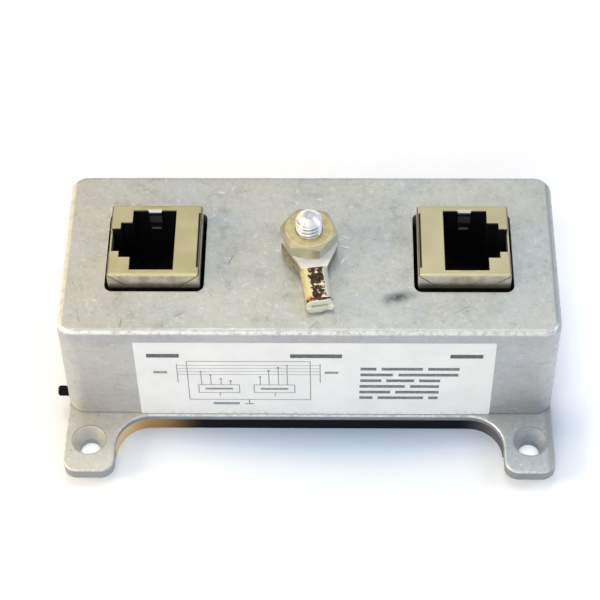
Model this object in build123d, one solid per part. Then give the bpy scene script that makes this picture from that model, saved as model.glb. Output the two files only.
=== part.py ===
"""Ethernet surge protector: a die-cast box with two sockets in its roof and a ground stud between them.

Millimetres, +Z up. The origin is the middle of the footprint, on the surface that the box stands on.
+X runs towards the right-hand socket, and the labelled wall faces -Y.
"""

import os
from math import cos, pi, radians, sin, tan

from build123d import *

os.makedirs("parts", exist_ok=True)

# Cast housing: four drafted walls and a roof
top_length = 78.0
top_depth = 32.0
wall_height = 21.6
draft = 0.5
plan_corner_r = 3.0
roof_edge_r = 1.0
wall = 2.0
roof = 2.2
inner_corner_r = 1.0

# Flange and ears, with the moulded cover let in under them
cover_thickness = 2.5
flange_edge = 1.1
flange_lip = 0.5
flange_round = 0.4
ear_width = 8.05
ear_reach = 11.1
ear_thickness = 2.1
ear_corner_r = 2.2
ear_root_r = 5.5
ear_hole_in = 3.8
ear_hole_out = 5.2
ear_hole_r = 1.65
ear_sink_r = 2.7
ear_sink_depth = 2.4
ear_boss_r = 3.1
cover_stub = 0.75
cover_clearance = 0.25

# Sockets: a folded shield round a moulded body, standing upright on the board
socket_from_end = 14.8
socket_rise = 3.0
shield_length = 14.4
shield_depth = 14.24
shield_sheet = 0.25
shield_bend_r = 0.35
port_inset = 4.1
port_length = 6.9
port_width = 12.0
port_step_length = 1.8
port_step_width = 7.0
port_latch_width = 4.65
port_depth = 12.6
latch_depth = 6.0
shield_latch_drop = 1.0
seam_slit = 0.16
seam_reach = 4.2
seam_angle = 42
face_slit_length = 11.0
face_slit_width = 0.2
finger_width = 2.0
finger_length = 4.5
finger_lean = 0.35
shield_leg_width = 1.2
shield_leg_length = 2.3
roof_cut_gap_x = 0.6
roof_cut_gap_y = 0.85
roof_cut_corner_r = 1.3
fit_gap = 0.05

# Contact wires and the carrier that holds them
contact_count = 8
contact_pitch = 1.02
contact_wire = 0.3
contact_slot = 0.6
contact_tail = 0.9
contact_bend = 0.8
contact_reach = 2.1
contact_tip_depth = 10.4
carrier_length = 3.1
carrier_width = 10.2
carrier_cover = 2.0

# Circuit board and its fixings
board_thickness = 1.6
board_top = 10.7
board_gap = 0.7
board_slot_gap = 0.3
board_boss_r = 2.5
board_boss_in_x = 3.8
board_boss_in_y = 3.8
board_screw_r = 1.1
board_screw_length = 7.5
board_screw_head_r = 2.4
board_screw_head = 1.7
thread_gap = 0.04
screw_hole_gap = 0.25
pilot_over = 0.5
recess_reach = 0.6
recess_width = 0.2

# Moulded cover: rim, two snap pegs and two screws
rim_height = 2.0
rim_wall = 1.2
rim_gap = 0.3
peg_r = 0.85
peg_height = 4.9
peg_proud = 1.7
peg_from_wall = 3.4
peg_arm_width = 3.2
peg_arm_over = 0.9
peg_hole_gap = 0.2
cover_screw_from_wall = 4.2
cover_boss_r = 2.75
cover_screw_r = 1.25
cover_screw_length = 9.0
cover_screw_head_r = 2.5
cover_screw_sink = 1.4

# Ground stud and the stack of pieces clamped on it
stud_r = 2.085
stud_above_nut = 3.3
stud_tip_chamfer = 0.55
stud_head_r = 3.7
stud_head = 2.2
stud_hole_gap = 0.17
strap_sheet = 0.5
strap_ring_r = 4.8
strap_width = 6.0
strap_to_boss = 1.7
strap_foot = 3.0
star_washer = 0.5
star_washer_r = 3.5
star_teeth = 12
star_tooth_length = 1.6
star_tooth_width = 0.9
lug_plate = 1.7
lug_ring_r = 4.4
lug_turn = 8.7
lug_leave = radians(30)
barrel_start = 5.15
barrel_length = 7.2
barrel_width = 4.2
barrel_height = 2.05
barrel_drop = 0.25
barrel_roundness = 0.46
barrel_overlap = 0.2
mouth_width = 2.6
mouth_height = 0.35
mouth_depth = 4.0
lip_reach = 0.5
lip_dent = 0.25
lip_dent_r = 1.4
flat_washer = 0.7
flat_washer_r = 3.95
lock_washer = 0.8
lock_washer_r = 3.5
lock_washer_split = 0.5
nut_across_flats = 7.94
nut_height = 2.6
nut_chamfer = 0.42
nut_turn = -8
running_gap = 0.06

# Surge parts on the board
tube_r = 2.5
tube_length = 7.6
tube_waist = 0.2
tube_band = 1.3
tube_to_chip = 0.85
seat_gap = 0.02
chip_length = 4.9
chip_width = 3.9
chip_height = 1.5
chip_leads = 4
chip_lead_reach = 1.05
chip_lead_thickness = 0.2
chip_lead_width = 0.4
chip_lead_pitch = 1.27
chip_to_socket = 1.4
fuse_length = 3.2
fuse_width = 1.6
fuse_height = 0.6
fuse_count = 4
fuse_pitch = 3.4
sheet_thickness = 0.25

# Label on the front wall
label_thickness = 0.12
label_length = 56.2
label_height = 19.1
label_foot = 0.1
label_shift = 0.9
label_corner_r = 0.3

# Sizes that follow from the ones above
wall_spread = wall_height * tan(radians(draft))
base_length = top_length + 2 * wall_spread
base_depth = top_depth + 2 * wall_spread
flange_top = cover_thickness + flange_edge
roof_top = flange_top + wall_height
roof_under = roof_top - roof
cavity_length = base_length - 2 * wall
cavity_depth = base_depth - 2 * wall
recess_y = base_depth / 2 + flange_lip
ear_tip_y = base_depth / 2 + ear_reach
ear_inner_x = base_length / 2 - ear_width
ear_hole_x = base_length / 2 - ear_hole_in
ear_hole_y = base_depth / 2 + ear_hole_out
ear_under = flange_top - ear_thickness
stub_x = ear_inner_x + cover_stub
stub_y = recess_y + ear_root_r
socket_offset = top_length / 2 - socket_from_end
socket_top = roof_top + socket_rise
port_x = -shield_length / 2 + port_inset
step_x = port_x + port_length
latch_x = step_x + port_step_length
contact_leg_x = port_x - carrier_length / 2
board_under = board_top - board_thickness
cavity_at_board = (board_top - flange_top) * tan(radians(draft))
board_length = cavity_length - 2 * (board_gap + cavity_at_board)
board_depth = cavity_depth - 2 * (board_gap + cavity_at_board)
board_boss_x = cavity_length / 2 - board_boss_in_x
board_boss_y = cavity_depth / 2 - board_boss_in_y
cover_screw_y = base_depth / 2 - cover_screw_from_wall
strap_reach = cover_screw_y - cover_boss_r - strap_to_boss
socket_inner_x = socket_offset - shield_length / 2
tube_x = (strap_width / 2 + socket_inner_x) / 2
tube_y = chip_length / 2 + tube_to_chip + tube_length / 2
chip_x = socket_inner_x - chip_to_socket - chip_lead_reach - chip_width / 2
rim_length = cavity_length - 2 * rim_gap
rim_depth = cavity_depth - 2 * rim_gap
rim_top = cover_thickness + rim_height
peg_y = base_depth / 2 - peg_from_wall
stack_flat = roof_top + flat_washer
stack_lug = stack_flat + lug_plate
stack_lock = stack_lug + lock_washer
nut_top = stack_lock + nut_height
stud_top = nut_top + stud_above_nut
star_top = roof_under - strap_sheet
head_top = star_top - star_washer


def both_sides(shape):
    """The shape and its copy turned half a turn about the Z axis."""
    return [shape, shape.rotate(Axis.Z, 180)]


def in_four_corners(x, y, shape):
    return [Pos(sx * x, sy * y, 0) * shape for sx in (-1, 1) for sy in (-1, 1)]


def upright(radius, low, high):
    """A cylinder on the Z axis from one height to another."""
    return Pos(0, 0, low) * Cylinder(radius, high - low, align=(Align.CENTER, Align.CENTER, Align.MIN))


def upright_cone(low_r, high_r, low, high):
    """A cone on the Z axis from one height to another."""
    return Pos(0, 0, low) * Cone(low_r, high_r, high - low, align=(Align.CENTER, Align.CENTER, Align.MIN))


def block(low, high):
    """A box between two corners."""
    size = [b - a for a, b in zip(low, high)]
    middle = [(a + b) / 2 for a, b in zip(low, high)]
    return Pos(*middle) * Box(*size)


def flange_outline():
    """Flange with four ears: straight sides, and a recess between the ears at front and back."""
    outline = Rectangle(base_length, 2 * ear_tip_y)
    recess_depth = ear_tip_y - recess_y
    for side in (-1, 1):
        middle = side * (recess_y + recess_depth / 2)
        outline -= Pos(0, middle) * Rectangle(2 * ear_inner_x, recess_depth)
    roots = [v for v in outline.vertices() if abs(abs(v.Y) - recess_y) < 0.01]
    outline = fillet(roots, ear_root_r)
    tips = [v for v in outline.vertices() if abs(abs(v.Y) - ear_tip_y) < 0.01]
    return fillet(tips, ear_corner_r)


def cover_outline():
    """The flange's outline without the ears, but with the short stubs that fill their root curves."""
    reach = Rectangle(base_length, 2 * recess_y) + Rectangle(2 * stub_x, 2 * stub_y)
    return flange_outline() & reach


def drafted_walls(length, depth, corner_r, low, high):
    """A block with the walls' draft, whose given plan lies at the flange's top."""
    grow = (flange_top - low) * tan(radians(draft))
    plan = RectangleRounded(length + 2 * grow, depth + 2 * grow, corner_r)
    return extrude(Pos(0, 0, low) * plan, high - low, taper=draft)


def outer_walls(skin=0.0):
    return drafted_walls(base_length + 2 * skin, base_depth + 2 * skin, plan_corner_r, flange_top, roof_top)


def make_housing():
    body = outer_walls()
    body = fillet(body.faces().sort_by(Axis.Z)[-1].edges(), roof_edge_r)
    foot_plan = Pos(0, 0, cover_thickness) * RectangleRounded(base_length, base_depth, plan_corner_r)
    body += extrude(foot_plan, flange_edge)

    plate = extrude(Pos(0, 0, cover_thickness) * flange_outline(), flange_edge)
    plate = fillet(plate.faces().sort_by(Axis.Z)[-1].edges(), flange_round)
    body += plate

    ear_pads = flange_outline() - Rectangle(base_length + 1, 2 * (recess_y + cover_clearance))
    ear_pads -= Rectangle(2 * (stub_x + cover_clearance), 2 * (stub_y + cover_clearance))
    body += extrude(Pos(0, 0, ear_under) * ear_pads, cover_thickness - ear_under)
    body += in_four_corners(ear_hole_x, ear_hole_y, upright(ear_boss_r, 0, flange_top - flange_round))

    body -= drafted_walls(cavity_length, cavity_depth, inner_corner_r, cover_thickness, roof_under)
    cover_boss = upright(cover_boss_r, cover_thickness, roof_under)
    for side in (-1, 1):
        body += Pos(0, side * cover_screw_y, 0) * cover_boss
    board_boss = upright(board_boss_r, board_top, roof_under + roof / 2)
    body += in_four_corners(board_boss_x, board_boss_y, board_boss)

    ear_hole = upright(ear_hole_r, -1, flange_top + 1)
    ear_hole += upright_cone(ear_hole_r, ear_sink_r, flange_top - ear_sink_depth, flange_top)
    body -= in_four_corners(ear_hole_x, ear_hole_y, ear_hole)

    pilot_top = board_under + board_screw_length + pilot_over
    pilot = upright(board_screw_r + thread_gap, board_top - 1, pilot_top)
    body -= in_four_corners(board_boss_x, board_boss_y, pilot)
    pilot = upright(cover_screw_r + thread_gap, cover_thickness - 1, cover_screw_length + pilot_over)
    for side in (-1, 1):
        body -= Pos(0, side * cover_screw_y, 0) * pilot

    body -= upright(stud_r + stud_hole_gap, roof_under - 1, roof_top + 1)
    cut_plan = RectangleRounded(
        shield_length + 2 * roof_cut_gap_x, shield_depth + 2 * roof_cut_gap_y, roof_cut_corner_r
    )
    for side in (-1, 1):
        body -= extrude(Pos(side * socket_offset, 0, roof_under - 1) * cut_plan, roof + 2)
    peg_hole = Rot(0, 90, 0) * Cylinder(peg_r + peg_hole_gap, 2 * wall + 1)
    body -= both_sides(Pos(-base_length / 2 + wall / 2, -peg_y, peg_height) * peg_hole)
    return body


def make_base_cover():
    body = extrude(cover_outline(), cover_thickness)
    rim = RectangleRounded(rim_length, rim_depth, inner_corner_r)
    rim -= Rectangle(rim_length - 2 * rim_wall, rim_depth - 2 * rim_wall)
    for side in (-1, 1):
        rim -= Pos(0, side * cover_screw_y) * Circle(cover_boss_r + rim_gap)
    body += extrude(Pos(0, 0, cover_thickness) * rim, rim_height)

    arm_y = -peg_y + (peg_arm_width / 2 - peg_r)
    arm_x = -rim_length / 2
    arm = block(
        (arm_x, arm_y - peg_arm_width / 2, cover_thickness),
        (arm_x + rim_wall, arm_y + peg_arm_width / 2, peg_height + peg_r + peg_arm_over),
    )
    peg_end = -base_length / 2 - peg_proud
    peg_long = arm_x + rim_wall / 2 - peg_end
    peg = Pos(peg_end + peg_long / 2, -peg_y, peg_height) * Rot(0, 90, 0) * Cylinder(peg_r, peg_long)
    peg = chamfer(peg.faces().sort_by(Axis.X)[0].edges(), peg_r / 4)
    body += both_sides(arm + peg)

    hole = upright_cone(cover_screw_head_r, cover_screw_r, 0, cover_screw_sink)
    hole += upright(cover_screw_r + screw_hole_gap, -1, cover_thickness + 1)
    for side in (-1, 1):
        body -= Pos(0, side * cover_screw_y, 0) * hole
    return body


def cross_recess(radius, depth):
    arm = Box(2 * radius * recess_reach, radius * recess_width, 2 * depth)
    return arm + Rot(0, 0, 90) * arm


def make_cover_screws():
    """Two countersunk screws, heads flush with the underside."""
    screw = upright_cone(cover_screw_head_r - fit_gap, cover_screw_r - fit_gap, 0, cover_screw_sink)
    screw += upright(cover_screw_r, cover_screw_sink / 2, cover_screw_length)
    screw -= cross_recess(cover_screw_head_r, cover_screw_sink / 2)
    return [Pos(0, side * cover_screw_y, 0) * screw for side in (-1, 1)]


def make_board_screws():
    head_under = board_under - board_screw_head
    screw = upright(board_screw_head_r, head_under, board_under)
    screw = fillet(screw.faces().sort_by(Axis.Z)[0].edges(), board_screw_head / 3)
    screw += upright(board_screw_r, board_under - board_screw_head / 2, board_under + board_screw_length)
    screw -= Pos(0, 0, head_under) * cross_recess(board_screw_head_r, board_screw_head / 2)
    return in_four_corners(board_boss_x, board_boss_y, screw)


def make_front_label():
    """A thin sticker that lies on the drafted front wall."""
    skin = outer_walls(label_thickness) - outer_walls()
    middle_z = flange_top + label_foot + label_height / 2
    plan = RectangleRounded(label_length, label_height, label_corner_r)
    window = Pos(label_shift, 0, middle_z) * Rot(90, 0, 0) * extrude(plan, base_depth)
    return skin & window


def port_outline():
    """The plug opening: main port, step and latch slot, which points away from the middle of the box."""
    outline = Pos(port_x + port_length / 2, 0) * Rectangle(port_length, port_width)
    outline += Pos(step_x, 0) * Rectangle(2 * port_step_length, port_step_width)
    latch_long = shield_length / 2 - latch_x
    outline += Pos(latch_x, 0) * Rectangle(2 * latch_long, port_latch_width)
    return outline


def socket_place():
    return Pos(socket_offset, 0, 0)


def make_shield():
    """Folded sheet: face, four walls, corner seams, two ground fingers and two board legs."""
    low, high = board_top, socket_top
    body = Pos(0, 0, low) * extrude(Rectangle(shield_length, shield_depth), high - low)
    upright_edges = body.edges().filter_by(Axis.Z)
    body = fillet(upright_edges, shield_bend_r)
    body = fillet(body.faces().sort_by(Axis.Z)[-1].edges(), shield_bend_r)
    inside = Rectangle(shield_length - 2 * shield_sheet, shield_depth - 2 * shield_sheet)
    body -= extrude(Pos(0, 0, low - 1) * inside, high - shield_sheet - low + 1)
    body -= extrude(Pos(0, 0, high - 2 * shield_sheet) * port_outline(), 4 * shield_sheet)

    edge_x = shield_length / 2
    body -= block(
        (edge_x - 2 * shield_sheet, -port_latch_width / 2, high - shield_latch_drop),
        (edge_x + 1, port_latch_width / 2, high + 1),
    )
    slit_x = -edge_x + shield_sheet + fit_gap + face_slit_width / 2
    body -= Pos(slit_x, 0, high) * Box(face_slit_width, face_slit_length, 4 * shield_sheet)

    seam = Box(2 * seam_reach, shield_depth + 1, seam_slit)
    for side in (-1, 1):
        body -= Pos(side * edge_x, 0, high) * Rot(0, -side * seam_angle, 0) * seam

    face_edge = port_width / 2
    finger = Polyline(
        (face_edge + shield_sheet, high),
        (face_edge, high),
        (face_edge - finger_lean, high - 2 * shield_sheet),
        (face_edge - finger_lean, high - finger_length),
        (face_edge - finger_lean + shield_sheet, high - finger_length),
        (face_edge - finger_lean + shield_sheet, high - 3 * shield_sheet),
        (face_edge + shield_sheet, high - shield_sheet),
        close=True,
    )
    port_middle = port_x + port_length / 2
    finger = extrude(make_face(Plane.YZ * finger), finger_width / 2, both=True)
    finger = Pos(port_middle, 0, 0) * finger
    body += [finger, finger.mirror(Plane.XZ)]

    leg_y = shield_depth / 2 - shield_sheet / 2
    leg = Box(shield_leg_width, shield_sheet, 2 * shield_leg_length)
    for side in (-1, 1):
        body += Pos(0, side * leg_y, low) * leg
    return socket_place() * body


def make_socket_body():
    """Moulded block inside the shield, open to the plug from above and to the carrier from below."""
    length = shield_length - 2 * (shield_sheet + fit_gap)
    depth = shield_depth - 2 * (shield_sheet + fit_gap)
    top = socket_top - shield_sheet - fit_gap
    body = Pos(0, 0, board_top) * extrude(Rectangle(length, depth), top - board_top)

    body -= block((port_x, -port_width / 2, top - port_depth), (step_x, port_width / 2, top + 1))
    body -= block(
        (step_x - 1, -port_step_width / 2, top - port_depth),
        (latch_x, port_step_width / 2, top + 1),
    )
    body -= block(
        (latch_x - 1, -port_latch_width / 2, top - latch_depth),
        (shield_length / 2, port_latch_width / 2, top + 1),
    )
    port_middle = port_x + port_length / 2
    pocket_x = finger_width / 2 + fit_gap
    pocket_y = port_width / 2 + shield_sheet + fit_gap
    body -= block(
        (port_middle - pocket_x, -pocket_y, top - finger_length - shield_sheet),
        (port_middle + pocket_x, pocket_y, top + 1),
    )
    carrier_room = carrier_width / 2 + fit_gap
    body -= block(
        (port_x - carrier_length - fit_gap, -carrier_room, board_top - 1),
        (port_x + fit_gap, carrier_room, top - carrier_cover),
    )
    return socket_place() * body


def contact_rows():
    return [(i - (contact_count - 1) / 2) * contact_pitch for i in range(contact_count)]


def make_contact_carrier():
    """Comb that parts the contact wires, set into the back of the socket body."""
    top = socket_top - shield_sheet - carrier_cover - 2 * fit_gap
    body = block((port_x - carrier_length, -carrier_width / 2, board_top), (port_x, carrier_width / 2, top))
    slot_back = contact_leg_x - contact_wire
    for y in contact_rows():
        body -= block(
            (slot_back, y - contact_slot / 2, board_top - 1),
            (port_x + 1, y + contact_slot / 2, top - contact_wire),
        )
    return socket_place() * body


def make_contacts():
    """Bent contact wires: a tail through the board, a leg up the carrier and a sprung arm into the port."""
    bend_z = socket_top - shield_sheet - carrier_cover - 3 * contact_wire
    path = Polyline(
        (contact_leg_x, board_under - contact_tail),
        (contact_leg_x, bend_z - contact_bend),
        (contact_leg_x + contact_bend, bend_z),
        (port_x + contact_reach, socket_top - contact_tip_depth),
    )
    wire = extrude(Plane.XZ * trace(path, contact_wire), contact_wire / 2, both=True)
    return [socket_place() * Pos(0, y, 0) * wire for y in contact_rows()]


def make_board():
    plan = RectangleRounded(board_length, board_depth, inner_corner_r)
    for side in (-1, 1):
        plan -= Pos(0, side * cover_screw_y) * Circle(cover_boss_r + screw_hole_gap)
    plan -= in_four_corners(board_boss_x, board_boss_y, Circle(board_screw_r + screw_hole_gap))
    leg_y = shield_depth / 2 - shield_sheet / 2
    for side in (-1, 1):
        pin_x = side * (socket_offset + contact_leg_x)
        pin_hole = Rectangle(contact_wire + board_slot_gap, contact_wire + board_slot_gap)
        plan -= [Pos(pin_x, y) * pin_hole for y in contact_rows()]
        for leg in (-1, 1):
            slot = Rectangle(shield_leg_width + board_slot_gap, shield_sheet + board_slot_gap)
            plan -= Pos(side * socket_offset, leg * leg_y) * slot
    return extrude(Pos(0, 0, board_under) * plan, board_thickness)


def make_stud():
    shaft = upright(stud_r, head_top - stud_head / 2, stud_top)
    shaft = chamfer(shaft.faces().sort_by(Axis.Z)[-1].edges(), stud_tip_chamfer)
    head = upright(stud_head_r, head_top - stud_head, head_top)
    head = fillet(head.faces().sort_by(Axis.Z)[0].edges(), stud_head / 3)
    slot = Pos(0, 0, head_top - stud_head) * Box(2 * stud_head_r + 1, stud_head / 3, stud_head)
    return shaft + head - slot


def make_star_washer():
    tooth_middle = star_washer_r - star_tooth_length / 2
    ring = Circle(tooth_middle)
    for i in range(star_teeth):
        turn = i * 360 / star_teeth
        ring += Rot(0, 0, turn) * Pos(tooth_middle, 0) * Rectangle(star_tooth_length, star_tooth_width)
    ring -= Circle(stud_r + stud_hole_gap)
    return extrude(Pos(0, 0, head_top) * ring, star_washer)


def make_ground_strap():
    """Ring under the roof, a tongue, a leg down to the board and a soldered foot."""
    plan = Circle(strap_ring_r) + Pos(0, strap_reach / 2) * Rectangle(strap_width, strap_reach)
    plan -= Circle(stud_r + stud_hole_gap)
    body = extrude(Pos(0, 0, star_top) * plan, strap_sheet)
    half = strap_width / 2
    foot_y = strap_reach - strap_foot
    body += block((-half, strap_reach - strap_sheet, board_top), (half, strap_reach, roof_under))
    body += block((-half, foot_y, board_top), (half, strap_reach, board_top + strap_sheet))
    outside = [
        e for e in body.edges().filter_by(Axis.X)
        if abs(e.center().Y - strap_reach) < 0.01 and e.length > strap_width * 0.9
    ]
    return fillet(outside, strap_sheet * 0.9)


def make_ring_terminal():
    """Bare crimp terminal: thick ring, tapering tongue and a flattened barrel, just clear of the roof."""
    half = barrel_width / 2
    leave_x, leave_y = lug_ring_r * cos(lug_leave), lug_ring_r * sin(lug_leave)
    tongue = Polyline(
        (-leave_x, -leave_y),
        (leave_x, -leave_y),
        (half, -barrel_start),
        (half, -barrel_start - barrel_overlap),
        (-half, -barrel_start - barrel_overlap),
        (-half, -barrel_start),
        close=True,
    )
    plan = Circle(lug_ring_r) + make_face(tongue) - Circle(stud_r + stud_hole_gap)
    body = extrude(plan, lug_plate)

    section = RectangleRounded(barrel_width, barrel_height, barrel_height * barrel_roundness)
    barrel_middle = barrel_height / 2 - barrel_drop
    barrel_end = -barrel_start - barrel_length
    face = Plane((0, -barrel_start, barrel_middle), x_dir=(1, 0, 0), z_dir=(0, -1, 0))
    body += extrude(face * section, barrel_length)
    body -= Pos(0, barrel_end, barrel_middle) * Box(mouth_width, 2 * mouth_depth, mouth_height)
    body -= block((-half - 1, barrel_end - 1, barrel_middle), (half + 1, barrel_end + lip_reach, barrel_height + 1))
    dent = upright(lip_dent_r, -barrel_height, barrel_height)
    body -= Pos(half / 2, barrel_end - lip_dent_r + lip_dent, 0) * dent
    return Pos(0, 0, stack_flat) * Rot(0, 0, lug_turn) * body


def make_flat_washer():
    plan = Circle(flat_washer_r) - Circle(stud_r + stud_hole_gap)
    return extrude(Pos(0, 0, roof_top) * plan, flat_washer)


def make_lock_washer():
    """Split spring washer between the terminal and the nut, clamped flat."""
    plan = Circle(lock_washer_r) - Circle(stud_r + running_gap)
    ring = extrude(Pos(0, 0, stack_lug) * plan, lock_washer)
    split = Pos(lock_washer_r, 0, stack_lug + lock_washer / 2) * Rot(30, 0, 0)
    return ring - split * Box(2 * (lock_washer_r - stud_r) + 2, lock_washer_split, 4 * lock_washer)


def make_nut():
    """Hexagon nut with flats almost to the front and back, chamfered on both faces."""
    corner_r = nut_across_flats / 2 / cos(pi / 6)
    nut = extrude(RegularPolygon(corner_r, 6), nut_height)
    round_off = upright(corner_r, 0, nut_height)
    round_off = chamfer(round_off.edges().filter_by(GeomType.CIRCLE), nut_chamfer, nut_chamfer * 2)
    nut = nut & round_off
    nut -= upright(stud_r + running_gap, -1, nut_height + 1)
    return Pos(0, 0, stack_lock) * Rot(0, 0, nut_turn) * nut


def make_gas_tube():
    """Three-electrode gas tube: a ceramic body between metal bands."""
    points = [(0, -tube_length / 2)]
    waist_r = tube_r - tube_waist
    gap = (tube_length - 3 * tube_band) / 2
    edge = -tube_length / 2
    for band in range(3):
        points += [(tube_r, edge), (tube_r, edge + tube_band)]
        edge += tube_band
        if band < 2:
            points += [(waist_r, edge), (waist_r, edge + gap)]
            edge += gap
    points.append((0, tube_length / 2))
    profile = make_face(Plane.XZ * Polyline(*points, close=True))
    tube = Rot(90, 0, 0) * revolve(profile, Axis.Z)
    return Pos(0, 0, board_top + tube_r + seat_gap) * tube


def make_suppressor():
    """Eight-lead diode array."""
    middle_z = (chip_lead_thickness + chip_height) / 2
    body = Pos(0, 0, middle_z) * Box(chip_width, chip_length, chip_height - chip_lead_thickness / 2)
    lead_long = chip_width + 2 * chip_lead_reach
    for i in range(chip_leads):
        y = (i - (chip_leads - 1) / 2) * chip_lead_pitch
        body += Pos(0, y, chip_lead_thickness / 2) * Box(lead_long, chip_lead_width, chip_lead_thickness)
    return Pos(0, 0, board_top) * body


def make_line_fuses():
    """Chip fuses in two rows under the board, one row by each socket."""
    chip = Box(fuse_width, fuse_length, fuse_height)
    rows = [(i - (fuse_count - 1) / 2) * fuse_pitch for i in range(fuse_count)]
    z = board_under - fuse_height / 2
    return [Pos(side * socket_offset + side * fuse_width, y, z) * chip for side in (-1, 1) for y in rows]


def make_insulating_sheet():
    """Film that lies on the cover's rim, between the board and the cover."""
    length = rim_length - 2 * rim_wall - 2 * rim_gap
    plan = RectangleRounded(length, rim_depth - rim_wall, inner_corner_r)
    for side in (-1, 1):
        plan -= Pos(0, side * cover_screw_y) * Circle(cover_boss_r + 2 * rim_gap)
    return extrude(Pos(0, 0, rim_top) * plan, sheet_thickness)


def save(name, shape):
    """Write one node; a list of solids becomes one node of separate solids."""
    if isinstance(shape, list):
        solids = [solid for item in shape for solid in item.solids()]
        shape = Compound(children=solids)
    export_step(shape, f"parts/{name}.step")


def save_pair(name, shape):
    """Write the right-hand piece and its mirror image on the left."""
    pieces = shape if isinstance(shape, list) else [shape]
    save(f"right_{name}", shape)
    save(f"left_{name}", [piece.mirror(Plane.YZ) for piece in pieces])


save("housing", make_housing())
save("base_cover", make_base_cover())
save("cover_screws", make_cover_screws())
save("front_label", make_front_label())
save_pair("socket_shield", make_shield())
save_pair("socket_body", make_socket_body())
save_pair("contact_carrier", make_contact_carrier())
save_pair("contact_wires", make_contacts())
save("circuit_board", make_board())
save("board_screws", make_board_screws())
save("ground_stud", make_stud())
save("star_washer", make_star_washer())
save("ground_strap", make_ground_strap())
save("ring_terminal", make_ring_terminal())
save("flat_washer", make_flat_washer())
save("lock_washer", make_lock_washer())
save("ground_nut", make_nut())
gas_tube = make_gas_tube()
for row, y in (("front", -tube_y), ("rear", tube_y)):
    save(f"{row}_left_gas_tube", Pos(-tube_x, y, 0) * gas_tube)
    save(f"{row}_right_gas_tube", Pos(tube_x, y, 0) * gas_tube)
save_pair("suppressor_array", Pos(chip_x, 0, 0) * make_suppressor())
save("line_fuses", make_line_fuses())
save("insulating_sheet", make_insulating_sheet())
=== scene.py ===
from math import atan2, cos, degrees, pi, radians, sin, sqrt, tan

import bmesh
import bpy
from mathutils import Matrix, Vector


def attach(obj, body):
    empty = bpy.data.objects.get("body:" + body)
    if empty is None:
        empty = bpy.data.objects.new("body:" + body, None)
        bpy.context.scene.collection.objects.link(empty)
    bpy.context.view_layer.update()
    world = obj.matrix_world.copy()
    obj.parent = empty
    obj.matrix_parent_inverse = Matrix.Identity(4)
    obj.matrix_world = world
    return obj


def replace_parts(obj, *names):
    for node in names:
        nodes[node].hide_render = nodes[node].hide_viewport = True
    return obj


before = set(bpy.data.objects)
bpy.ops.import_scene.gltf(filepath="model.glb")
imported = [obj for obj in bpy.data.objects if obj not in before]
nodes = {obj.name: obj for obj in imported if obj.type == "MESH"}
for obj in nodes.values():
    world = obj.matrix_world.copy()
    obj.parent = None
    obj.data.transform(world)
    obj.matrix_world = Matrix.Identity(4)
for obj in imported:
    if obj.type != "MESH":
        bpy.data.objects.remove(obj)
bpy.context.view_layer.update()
MM = 0.001

# Sizes repeated from the solids, in millimetres
base_depth = 32.377
flange_top, roof_top = 3.6, 25.2
draft = radians(0.5)
label_thickness, label_low, ink_thickness = 0.12, 3.7, 0.012
socket_top, port_middle, port_half = 28.2, 24.55, 6.0
lug_turn, barrel_start, barrel_end, barrel_top = 8.7, 5.15, 12.35, 27.7
stud_r, stud_head_r, stud_head_low, stud_head_top, stud_top = 2.085, 3.7, 19.8, 22.0, 34.3
tip_r, tip_height = 0.85, 1.0
nut_rim_r = 3.62
ear_hole_x, ear_hole_y, ear_sink_r = 35.389, 21.389, 2.7
socket_offset, slit_from, slit_to, slit_half = 24.2, 6.63, 6.97, 5.5
roof_scratches = [((4.85, 1.32), (6.51, 0.75)), ((5.18, 3.25), (6.3, 2.85)), ((4.9, -2.6), (5.6, -1.2)),
                  ((1.1, 10.95), (2.0, 10.8)), ((-14.9, 12.5), (-13.7, 12.0))]
roof_scores = [((-28.74, -13.14), (-29.07, -15.06)), ((-12.0, -0.6), (-12.85, -2.95)), ((10.1, 2.5), (10.6, 2.5))]
thread_pitch, thread_depth = 0.794, 0.36


def tint(code):
    """The linear colour of an sRGB hex value."""
    parts = [int(code[i:i + 2], 16) / 255 for i in (1, 3, 5)]
    return [c / 12.92 if c <= 0.04045 else ((c + 0.055) / 1.055) ** 2.4 for c in parts] + [1.0]


def add(tree, kind, inputs=None, **settings):
    """A node with its settings; an input that is a socket is linked, and any other value is set.

    Inputs are given by number where a node repeats their names or where that is shorter. A MapRange node's are the
    value, the two ends that it comes from and the two that it goes to, 0 and 1 if they aren't given. A Mix node's
    are its share at 0, two vectors at 4 and 5, and two colours at 6 and 7.
    """
    made = tree.nodes.new("ShaderNode" + kind)
    for name, value in settings.items():
        setattr(made, name, value)
    for key, value in (inputs or {}).items():
        if isinstance(value, bpy.types.NodeSocket):
            tree.links.new(value, made.inputs[key])
        else:
            made.inputs[key].default_value = value
    return made


def new_material(name):
    """A material with nothing but its shader and the shader's output."""
    material = bpy.data.materials.new(name)
    material.use_nodes = True
    tree = material.node_tree
    tree.nodes.clear()
    shader = add(tree, "BsdfPrincipled")
    add(tree, "OutputMaterial", {"Surface": shader.outputs[0]})
    return material, tree, shader


def finish_shader(tree, shader, **values):
    """Sets or links the shader's sockets, whose names are given with underscores."""
    for key, value in values.items():
        socket = shader.inputs[key.replace("_", " ")]
        if isinstance(value, bpy.types.NodeSocket):
            tree.links.new(value, socket)
        else:
            socket.default_value = value


def millimetres(tree):
    """The object's own coordinates in millimetres."""
    place = add(tree, "TexCoord").outputs["Object"]
    return add(tree, "VectorMath", {0: place, "Scale": 1000.0}, operation="SCALE").outputs["Vector"]


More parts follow.
